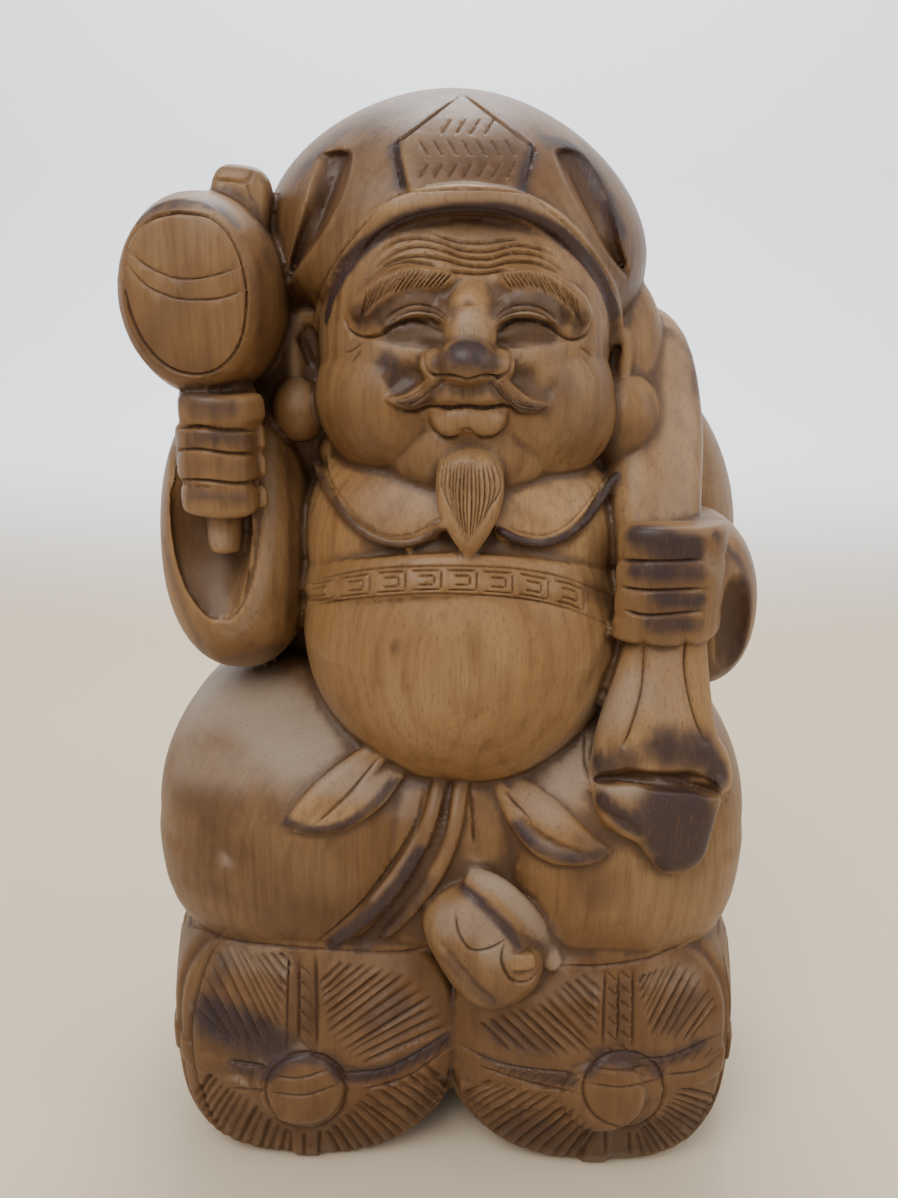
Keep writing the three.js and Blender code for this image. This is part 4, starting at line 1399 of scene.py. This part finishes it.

# %% [markdown]
# ## Cutting
#
# A groove needs several points across it. So the faces under the strokes are subdivided first,
# twice under the finest ones. Then every point near a stroke moves in along the surface's own
# direction. How deep each went is kept as an attribute, for the grime that settles there and the
# shade that is painted there.

# %% Refine under the strokes
def points_of(piece):
    points = np.empty(len(piece.data.vertices) * 3, np.float64)
    piece.data.vertices.foreach_get("co", points)
    return points.reshape(-1, 3)


def refine(piece, groups, margin):
    """Subdivide the faces that hold a point within the groups' strokes."""
    points = points_of(piece)
    samples = np.vstack([group.samples() for group in groups])
    which, mate, far = nearest(points, samples[:, :3], samples[:, 6].max() * 0.5 + margin)
    marked = np.zeros(len(points), bool)
    marked[which[far < samples[mate, 6] * 0.5 + margin]] = True
    corner = np.empty(len(piece.data.loops), np.int64)
    piece.data.loops.foreach_get("vertex_index", corner)
    starts = np.empty(len(piece.data.polygons), np.int64)
    piece.data.polygons.foreach_get("loop_start", starts)
    chosen = np.logical_or.reduceat(marked[corner], starts)
    piece.data.polygons.foreach_set("select", chosen)
    bpy.ops.object.mode_set(mode="EDIT")
    bpy.ops.mesh.select_mode(type="FACE")
    bpy.ops.mesh.subdivide(number_cuts=1)
    bpy.ops.object.mode_set(mode="OBJECT")


nothing_selected()
block.select_set(True)
bpy.context.view_layer.objects.active = block
bpy.ops.object.mode_set(mode="EDIT")
bpy.ops.mesh.select_mode(type="FACE")
bpy.ops.mesh.select_all(action="DESELECT")
bpy.ops.object.mode_set(mode="OBJECT")
BESIDE_A_CUT, BESIDE_A_HAIR = 0.0004, 0.0001
refine(block, [cuts, hairs, straw], BESIDE_A_CUT)
refine(block, [hairs], BESIDE_A_HAIR)
print("refined:", len(block.data.vertices), "points")

# %% Cut
STAYS_FLAT, DARKEST_AT = 0.0008, 0.0025
points = points_of(block)
outward = np.empty(len(points) * 3)
block.data.vertices.foreach_get("normal", outward)
outward = outward.reshape(-1, 3)
fine_push = sum(tooled("cut", points, group) for group in (cuts, hairs, rough_cuts))
straw_push = tooled("cut", points, straw)
push = fine_push + straw_push + tooled("hollow", points, hollows) + tooled("set_in", points, set_ins)
push = np.where(points[:, 2] < STAYS_FLAT, 0, push)
block.data.vertices.foreach_set("co", (points - outward * push[:, None]).ravel())
block.data.update()


def keep(piece, name, values):
    layer = piece.data.attributes.get(name) or piece.data.attributes.new(name, "FLOAT", "POINT")
    layer.data.foreach_set("value", np.asarray(values, np.float32))


keep(block, "carved", np.clip((fine_push + straw_push * 0.5) / DARKEST_AT, 0, 1))
print("deepest cut", round(push.max() / MM, 1), "mm")

# %% [markdown]
# ## Hollows and edges
#
# Wax and dust gather in hollows and wear off edges, and the shade that falls in hollows is painted
# in as well. If a copy of the surface is relaxed a few times, each point drifts towards the middle
# of its neighbours: outwards from a hollow, inwards from an edge. That drift is stored as an
# attribute, once for small forms and once for large.

# %% Measure hollows
def shared(piece, values, rounds):
    """Each point's value, half shared with its neighbours, so many times over."""
    pairs = np.empty(len(piece.data.edges) * 2, np.int64)
    piece.data.edges.foreach_get("vertices", pairs)
    one, other = pairs.reshape(-1, 2).T
    total = len(values)
    around = np.bincount(one, minlength=total) + np.bincount(other, minlength=total)
    for _ in range(rounds):
        pull = np.bincount(one, values[other], total) + np.bincount(other, values[one], total)
        values = (values + pull / around) / 2
    return values


def relaxed_drift(piece, rounds):
    points = points_of(piece)
    relaxed = np.stack([shared(piece, points[:, axis], rounds) for axis in range(3)], axis=1)
    normals = np.empty(points.size)
    piece.data.vertices.foreach_get("normal", normals)
    return np.einsum("ij,ij->i", relaxed - points, normals.reshape(-1, 3))


SMALL_ROUNDS, SMALL_HOLLOW = 10, 0.0006
small = relaxed_drift(block, SMALL_ROUNDS)
keep(block, "hollow", np.clip(small / SMALL_HOLLOW, -1, 1))
print("hollows from", round(small.min() / MM, 2), "to", round(small.max() / MM, 2), "mm")

# %% [markdown]
# ## A lighter mesh
#
# The smooth belly needs few faces and the brows need many. The Decimate modifier's collapse takes
# faces away where the surface is flattest, until the block is under 200,000 triangles.

# %% Thin the mesh
MOST_TRIANGLES = 196000

triangles = sum(len(face.vertices) - 2 for face in block.data.polygons)
thin = block.modifiers.new("thin", "DECIMATE")
thin.ratio = min(1, MOST_TRIANGLES / triangles)
bpy.ops.object.modifier_apply(modifier="thin")
moved(block, lambda p: np.clip(p, cad_box[0], cad_box[1]))
bpy.ops.object.shade_smooth()
even = block.modifiers.new("even", "WEIGHTED_NORMAL")
even.keep_sharp = False
bpy.ops.object.modifier_apply(modifier="even")
print("triangles", triangles, "->", sum(len(face.vertices) - 2 for face in block.data.polygons))

# %% Measure the larger hollows
LARGE_ROUNDS, LARGE_HOLLOW = 40, 0.003
large = relaxed_drift(block, LARGE_ROUNDS)
keep(block, "recess", np.clip(large / LARGE_HOLLOW, -1, 1))
print("large hollows to", round(large.max() / MM, 2), "mm")

# %% [markdown]
# ## The tone of each form
#
# The carver stained the forms differently: the bare belly is the palest amber, and the cap, the
# sleeves and the bales are darker. Each point of the block looks up the form it came from, takes
# that form's depth of stain, and shares it a little with its neighbours.

# %% Look up the stain of each form
STAIN_DEPTH = {
    "belly": 0.04, "chest": 0.0, "neck": 0.05, "belt": 0.25, "face": 0.46, "bridge": 0.25, "nose": 0.5,
    # The light stain on the ears and lobes is partly painted light, which lifts the right ear out of the
    # mallet's shadow.
    "wing": 0.5, "beard": 0.2, "ear": 0.15, "right_lobe": 0.15, "left_lobe": 0.25, "right_eye": 0.8,
    "left_eye": 0.8, "crown": 0.95, "brim": 0.35, "mallet": 0.55, "knob": 0.5, "handle": 0.5,
    "right_sleeve": 0.4, "left_sleeve": 0.5, "right_shoulder": 0.7, "left_shoulder": 0.4,
    "behind_the_ear": 0.3, "sack": 0.25, "sack_neck": 0.08, "sack_tongue": 0.3, "back": 0.5, "nape": 0.5,
    "right_leg": 0.82, "left_leg": 0.38, "lap": 0.7, "toe": 0.5, "heel": 0.5, "bale": 0.78, "boss": 0.72,
    "cuff": 0.3, "shoe_knob": 0.3, "right_leaf_a": 0.2, "right_leaf_b": 0.2, "left_leaf_a": 0.25,
    "left_leaf_b": 0.25, "hem_a": 0.95, "hem_b": 0.9,
}
OTHER_FORMS = 0.5


forms_skin = BVHTree.FromPolygons(known["spots"], known["faces"])
depths = np.array([STAIN_DEPTH.get(name, OTHER_FORMS) for name in known["names"]])
nearby = [forms_skin.find_nearest(v.co)[2] for v in block.data.vertices]
TONE_ROUNDS = 4
keep(block, "tone", shared(block, depths[nearby], TONE_ROUNDS))
print("forms known:", len(set(known["names"])))

# %% [markdown]
# ## Where the finish has aged, and where shade and sheen are painted
#
# The old stain has gone purple-brown where it lay thick, on rims, fingertips and the mouth of the
# sack. Dust and sun have turned what faces up grey, and a grey sheen and small highlights are painted
# where wax would catch the light. Shade is painted into the openings, the folds of the cap, the eyes,
# the gaps between parts and under the bales, and light is painted onto the right ear in the mallet's
# shadow. Each is brushed on along a few lines, with a strength and a radius in the photograph's
# pixels.

# %% Brush on the ageing, the painted shade and the painted sheen
STAINED = [
    (1.0, 19, [(462, 350), (474, 350)]), (0.6, 15, [(440, 360), (494, 360)]),
    (0.95, 9, [
        (326, 318), (334, 292), (350, 264), (374, 238), (402, 220), (435, 211), (468, 208), (500, 210),
        (528, 218), (556, 232), (582, 255), (602, 283), (614, 316),
    ]),
    (0.55, 13, [(380, 316), (398, 304), (420, 299), (448, 312)]),
    (0.55, 13, [(494, 312), (522, 299), (545, 303), (562, 316)]),
    # The two dabs on the cheeks paint the shade of the smile folds.
    (0.75, 15, [(388, 364), (396, 378), (406, 385)]), (0.35, 24, [(560, 388)]),
    (0.5, 12, [(358, 312), (362, 322)]), (0.5, 12, [(582, 318), (578, 330)]),
    (0.5, 8, [(440, 388), (424, 402), (398, 406)]), (0.5, 8, [(490, 386), (516, 406), (545, 410)]),
    (0.45, 9, [(455, 390), (482, 390)]), (0.55, 14, [(195, 408), (230, 408)]),
    (0.55, 11, [(190, 440), (225, 438), (250, 441)]), (0.35, 10, [(190, 466), (250, 469)]),
    (0.5, 10, [(190, 495), (245, 500)]), (0.6, 14, [(185, 396), (225, 392), (262, 378)]),
    (0.75, 9, [(118, 262), (132, 226), (164, 206), (212, 205), (240, 226)]),
    (0.45, 12, [(262, 215), (268, 260)]), (0.9, 19, [(640, 536), (692, 550)]),
    (0.75, 13, [(636, 572), (698, 575)]), (0.75, 11, [(660, 600), (700, 602)]),
    (0.65, 10, [(650, 624), (700, 626)]), (0.7, 18, [(600, 764), (632, 758)]),
    (0.75, 26, [(662, 748), (700, 752)]), (0.8, 16, [(708, 756), (722, 780)]),
    (1.0, 44, [(676, 815), (684, 838)]), (0.85, 13, [(602, 800), (620, 816), (640, 828)]),
    (0.9, 20, [(668, 862)]),
    (0.55, 6, [(318, 472), (336, 502), (360, 530), (388, 544), (412, 544), (440, 530)]),
    (0.85, 7, [(500, 531), (524, 542), (550, 543), (577, 530), (600, 502), (616, 476)]),
    (0.7, 7, [(286, 822), (312, 831), (345, 825), (374, 804), (394, 780)]),
    (0.7, 9, [(516, 824), (538, 846), (568, 858), (604, 853)]), (0.45, 20, [(586, 846), (610, 844)]),
    (0.85, 9, [(420, 852), (400, 884), (370, 916), (334, 944)]),
    (0.45, 8, [(432, 880), (412, 908), (384, 934)]),
    (0.85, 7, [(462, 888), (484, 905), (505, 927), (518, 944)]),
    (0.45, 10, [(446, 958), (474, 990), (496, 1004)]), (0.55, 14, [(300, 172), (322, 148), (348, 128)]),
    (0.75, 13, [(548, 140), (576, 150), (596, 176), (622, 230)]), (0.7, 10, [(396, 146), (402, 185)]),
    (0.7, 10, [(532, 150), (522, 188)]), (0.4, 7, [(400, 138), (455, 98)]),
    (0.45, 8, [(164, 540), (180, 600), (205, 655)]),
    (0.6, 8, [(716, 534), (744, 575), (742, 640), (716, 690)]),
    (0.55, 9, [(486, 1056), (528, 1074), (572, 1080)]),
    (0.7, 10, [(350, 1076), (400, 1066), (446, 1040)]),
    (0.6, 10, [(600, 1054), (650, 1062), (700, 1044)]),
    (0.7, 9, [(268, 1076), (286, 1058), (322, 1058), (340, 1074)]),
    (0.6, 9, [(588, 1072), (604, 1058), (640, 1058), (658, 1072)]), (0.6, 11, [(236, 1066), (262, 1072)]),
    (0.75, 30, [(214, 1018), (250, 1034), (272, 1046)]), (0.4, 22, [(375, 1018), (392, 1008)]),
    (0.4, 20, [(500, 1034), (540, 1046)]), (0.4, 20, [(672, 1020), (690, 1000)]),
    (0.5, 12, [(224, 962), (216, 980)]), (0.4, 8, [(206, 170), (240, 166), (262, 178)]),
    (0.5, 11, [(668, 332), (692, 356), (696, 395)]), (0.4, 12, [(648, 400), (656, 425), (650, 445)]),
    (0.5, 12, [(614, 336), (606, 348)]),
]
# Dust and painted sheen: grey dust on what faces up, painted highlights on the nose, the lid edges and a
# hem's edge, and painted light on the right ear in the mallet's shadow.
DUST_AND_SHEEN = [
    (1.0, 54, [(190, 700), (250, 700), (306, 742)]), (0.6, 30, [(185, 762), (240, 768)]),
    (0.8, 26, [(325, 772), (385, 786)]), (0.6, 22, [(400, 800)]), (0.8, 40, [(560, 780), (584, 752)]),
    (0.6, 22, [(528, 800), (552, 815)]), (0.85, 14, [(474, 868), (510, 892), (540, 926), (560, 962)]),
    (0.65, 22, [(448, 922), (486, 926), (496, 950)]), (0.55, 30, [(668, 335), (680, 430), (676, 512)]),
    (0.75, 30, [(600, 715), (636, 690)]), (0.45, 30, [(665, 660), (670, 720)]),
    (0.7, 13, [(222, 606), (206, 572)]), (0.55, 9, [(272, 440), (270, 540), (252, 612), (228, 634)]),
    (0.65, 40, [(715, 420), (728, 500)]), (0.35, 14, [(345, 128), (352, 142)]),
    (0.85, 10, [(604, 788), (638, 794)]), (0.45, 10, [(396, 200), (470, 194), (545, 206)]),
    (0.5, 18, [(236, 958), (280, 962)]), (0.35, 16, [(335, 964), (400, 964)]),
    (0.4, 18, [(540, 992), (592, 984)]), (0.4, 18, [(655, 975), (690, 978)]),
    (0.6, 14, [(205, 535), (225, 540)]), (0.6, 12, [(706, 560), (722, 580), (722, 640)]),
    (0.55, 16, [(470, 318), (468, 330)]), (0.45, 16, [(436, 340), (380, 352)]),
    (0.4, 16, [(520, 352), (560, 350)]), (0.75, 4, [(388, 323), (402, 315), (419, 311), (438, 317)]),
    (0.6, 4, [(504, 318), (524, 311), (545, 317)]),
    (0.5, 5, [(420, 812), (412, 842), (396, 870), (372, 900)]), (0.35, 14, [(340, 336), (358, 348)]),
    (0.6, 6, [(190, 1007)]), (0.7, 5, [(225, 860)]), (0.7, 5, [(345, 150)]),
    (0.6, 5, [(236, 1076), (244, 1084)]), (0.5, 13, [(294, 322), (294, 356), (297, 384), (300, 402)]),
    (0.35, 16, [(624, 380)]), (0.4, 24, [(200, 215), (250, 212)]), (0.15, 26, [(350, 500), (380, 515)]),
    (0.15, 26, [(545, 500), (575, 490)]), (0.5, 30, [(735, 760), (738, 800)]),
    (0.5, 10, [(264, 1060), (300, 1050)]), (0.35, 26, [(430, 228), (510, 228)]),
]
# Painted shade: dark dabs in the openings, the folds of the cap, the eyes, the ear hollows, the gaps
# between parts, the shaded sides and under the bales.
PAINTED_SHADE = [
    (0.6, 8, [(288, 450), (292, 540), (288, 620)]), (0.7, 26, [(215, 668), (270, 655)]),
    (0.7, 22, [(735, 590), (722, 660)]), (0.85, 14, [(338, 165), (320, 208), (300, 254)]),
    (0.85, 14, [(572, 170), (598, 212), (618, 256)]),
    (0.5, 7, [(598, 779), (640, 778), (690, 782), (716, 790)]), (0.45, 60, [(215, 860), (290, 905)]),
    (0.9, 6, [(395, 645)]), (0.8, 4, [(455, 744)]), (0.8, 3.5, [(483, 738)]),
    (0.5, 30, [(180, 790), (222, 806)]), (0.45, 18, [(300, 422), (310, 432)]),
    (0.5, 26, [(625, 445), (640, 436)]), (0.4, 36, [(345, 425), (375, 462)]),
    (0.4, 36, [(565, 395), (580, 440)]), (0.3, 36, [(640, 890), (700, 880)]),
    (0.5, 16, [(580, 690), (605, 650)]), (0.6, 30, [(660, 560), (665, 620)]),
    (0.6, 14, [(588, 590), (612, 600)]), (0.5, 26, [(240, 1120), (380, 1140)]),
    (0.8, 30, [(520, 1130), (600, 1145), (700, 1120)]), (0.5, 22, [(440, 1080), (420, 1110)]),
    (0.5, 20, [(182, 290), (150, 350), (200, 360)]), (0.6, 18, [(262, 270), (262, 350)]),
    (0.35, 30, [(480, 480), (420, 470)]), (0.8, 8, [(306, 342), (312, 362)]),
    (0.8, 8, [(616, 350), (613, 366)]), (0.4, 20, [(700, 350), (688, 380)]),
    (0.9, 14, [(420, 880), (392, 916), (360, 942)]), (0.4, 26, [(600, 250), (635, 300)]),
    (0.9, 13, [(392, 333), (412, 331), (438, 336)]), (0.9, 13, [(504, 336), (524, 330), (548, 334)]),
    (0.6, 26, [(590, 878), (600, 892)]), (0.5, 30, [(185, 940), (230, 935)]),
    (0.35, 40, [(285, 250), (275, 290)]), (0.45, 36, [(440, 158), (500, 158)]),
    (0.3, 30, [(345, 500), (388, 520)]), (0.5, 14, [(300, 600), (296, 560)]),
    (0.55, 18, [(306, 990), (300, 1040)]), (0.5, 14, [(620, 990), (618, 1040)]),
]


BRUSH_SPREAD, BRUSH_LOAD = 1.5, 1.3


def brushed(piece, skin, lines):
    """The strongest of all the brush's dabs at each point. A dab fades out from its middle."""
    points = points_of(piece)
    values = np.zeros(len(points))
    for strength, radius, line in lines:
        stops = line
        if len(line) > 1:
            length = np.linalg.norm(np.diff(line, axis=0), axis=1).sum()
            stops = along_curve(line, np.linspace(0, 1, 2 + int(length / radius * 2)))
        for spot in stops:
            hit = touch(skin, photo, *spot)
            if hit:
                far = np.linalg.norm(points - hit[0], axis=1) / (radius * hit[2] * BRUSH_SPREAD)
                dab = np.clip(eased(np.clip(1 - far, 0, 1)) * BRUSH_LOAD, 0, 1)
                values = np.maximum(values, strength * dab)
    return values


carved_skin = skin_of(block)
for name, lines in (("stained", STAINED), ("greyed", DUST_AND_SHEEN), ("darkened", PAINTED_SHADE)):
    values = brushed(block, carved_skin, lines)
    keep(block, name, values)
    print(name, round(float(values.mean()), 3))

# %% [markdown]
# ## The wood
#
# It is a warm brown timber, waxed to a soft shine. Its fibres run upright. Growth rings show as
# broad arches where the belly cuts through them, and pores as short dark dashes. The tone and the
# brushed attributes then stain it, lay dust and painted sheen on it, and paint shade on it. Grime
# and painted shade lie in every cut, and painted shade with wax and dust in every hollow.

# %% Mix the wood
wood = bpy.data.materials.new("waxed wood")
wood.use_nodes = True
surface = wood.node_tree.nodes["Principled BSDF"]
bench = Wire(wood.node_tree)
place = bench.node("ShaderNodeTexCoord", {}, {}, output="Object")


def drawn_out(size, tall, detail=3.0, rough=0.55):
    """Noise drawn out upwards: size and tall are the width and height of its patches in metres."""
    squeezed = bench.node("ShaderNodeMapping", {}, {0: place, "Scale": (1 / size, 1 / size, 1 / tall)})
    return bench.node("ShaderNodeTexNoise", {}, {"Vector": squeezed, "Scale": 1.0, "Detail": detail,
                                                 "Roughness": rough})


def attribute(name):
    return bench.node("ShaderNodeAttribute", {"attribute_name": name}, {}, output="Fac")


fibres = drawn_out(0.0022, 0.05, detail=2)
streaks = drawn_out(0.010, 0.13, detail=2)
clouds = drawn_out(0.09, 0.12, detail=2)
blotches = drawn_out(0.020, 0.030, detail=3, rough=0.65)
patches = drawn_out(0.045, 0.070, detail=3, rough=0.6)
pores = drawn_out(0.0011, 0.012, detail=0).between(0.66, 0.76)
print("wood noises:", len(wood.node_tree.nodes), "nodes")

# %% Add the growth rings
RING, RING_WAVER = 0.0105, 14
PITH_AT, PITH_LEAN = (-0.02, 0.30, 0.0), (math.radians(7), math.radians(-4), 0)
leaning = bench.node("ShaderNodeMapping", {}, {0: place, "Location": PITH_AT, "Rotation": PITH_LEAN,
                                               "Scale": (1, 1, 0.02)})
from_pith = bench.node("ShaderNodeVectorMath", {"operation": "LENGTH"}, {0: leaning}, output="Value")
phase = from_pith * (2 * math.pi / RING) + drawn_out(0.07, 0.3) * RING_WAVER
rings = bench.maths("SINE", phase, 0.0).between(0.1, 1.0)
print("with rings:", len(wood.node_tree.nodes), "nodes")

# %% Colour the wood
HONEY, PALE_HONEY = (0.232, 0.120, 0.043, 1), (0.31, 0.182, 0.080, 1)
RED_BROWN, DEEP_STAIN = (0.118, 0.050, 0.018, 1), (0.30, 0.24, 0.20, 1)
UMBER, LOW_BROWN = (0.055, 0.027, 0.014, 1), (0.088, 0.037, 0.015, 1)
PURPLE_BROWN, SHEEN_AND_DUST_GREY, DIRT_AND_SHADE = (0.029, 0.0170, 0.0185, 1), (0.27, 0.205, 0.150, 1), (0.018, 0.009, 0.005, 1)

tone, stained, greyed, darkened = (attribute(name) for name in ("tone", "stained", "greyed", "darkened"))
dirt_and_shade, hollow, recess = (attribute(name) for name in ("carved", "hollow", "recess"))
height = bench.node("ShaderNodeSeparateXYZ", {}, {0: place}, output="Z")
low_down = 1 - height.between(0.15, 0.26)

colour = clouds.between(0.35, 0.65).over(HONEY, PALE_HONEY)
colour = (streaks.between(0.48, 0.75) * 0.45).over(colour, RED_BROWN)
colour = (rings * 0.17).over(colour, RED_BROWN)
colour = (fibres.between(0.45, 0.75) * 0.28).over(colour, RED_BROWN)
colour = (tone * 0.8 + patches.between(0.5, 0.72) * 0.35 * tone).over(colour, DEEP_STAIN, "MULTIPLY")
colour = (low_down * (0.2 + blotches * 0.4)).over(colour, LOW_BROWN)
colour = ((0 - hollow).between(0.15, 1.0) * 0.22).over(colour, PALE_HONEY)
# Painted shade: the brushed shade turns the wood towards umber.
colour = ((darkened * (0.5 + blotches)).between(0.05, 1.0) * 0.85).over(colour, UMBER)
# Dust and painted sheen: grey dust, painted highlights and painted light lie over the wood.
colour = ((greyed * (0.45 + patches * 0.6 + clouds * 0.4)).between(0.05, 1.1) * 0.8).over(colour, SHEEN_AND_DUST_GREY)
colour = ((stained * (0.45 + blotches * 1.1)).between(0.08, 0.85) * 0.93).over(colour, PURPLE_BROWN)
# Painted shade, with wax and dust: the wood turns umber in large hollows and in small ones.
colour = (recess.between(0.12, 1.0) * 0.6).over(colour, UMBER)
colour = (hollow.between(0.1, 0.9) * 0.6).over(colour, UMBER)
# Grime and painted shade in the cuts.
colour = (dirt_and_shade.between(0.2, 1.0) * 0.55).over(colour, DIRT_AND_SHADE)
colour = (pores * 0.4).over(colour, RED_BROWN)
wood.node_tree.links.new(colour.socket, surface.inputs["Base Color"])
print("coloured:", len(wood.node_tree.nodes), "nodes")

# %% Wax the wood
roughness = 0.34 + fibres * 0.1 + blotches * 0.14 + greyed * 0.16 + dirt_and_shade * 0.2
relief_height = fibres * 0.5 + blotches * 0.7
bump = bench.node("ShaderNodeBump", {}, {"Strength": 0.4, "Distance": 0.0007, "Height": relief_height})
wood.node_tree.links.new(roughness.socket, surface.inputs["Roughness"])
wood.node_tree.links.new(bump.socket, surface.inputs["Normal"])
surface.inputs["Specular IOR Level"].default_value = 0.27
surface.inputs["Coat Weight"].default_value = 0.05
surface.inputs["Coat Roughness"].default_value = 0.32
block.data.materials.clear()
block.data.materials.append(wood)
print("waxed wood:", len(wood.node_tree.nodes), "nodes")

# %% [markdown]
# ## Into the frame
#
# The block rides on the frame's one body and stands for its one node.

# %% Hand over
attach(block, "root")
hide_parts("daikoku_figure")
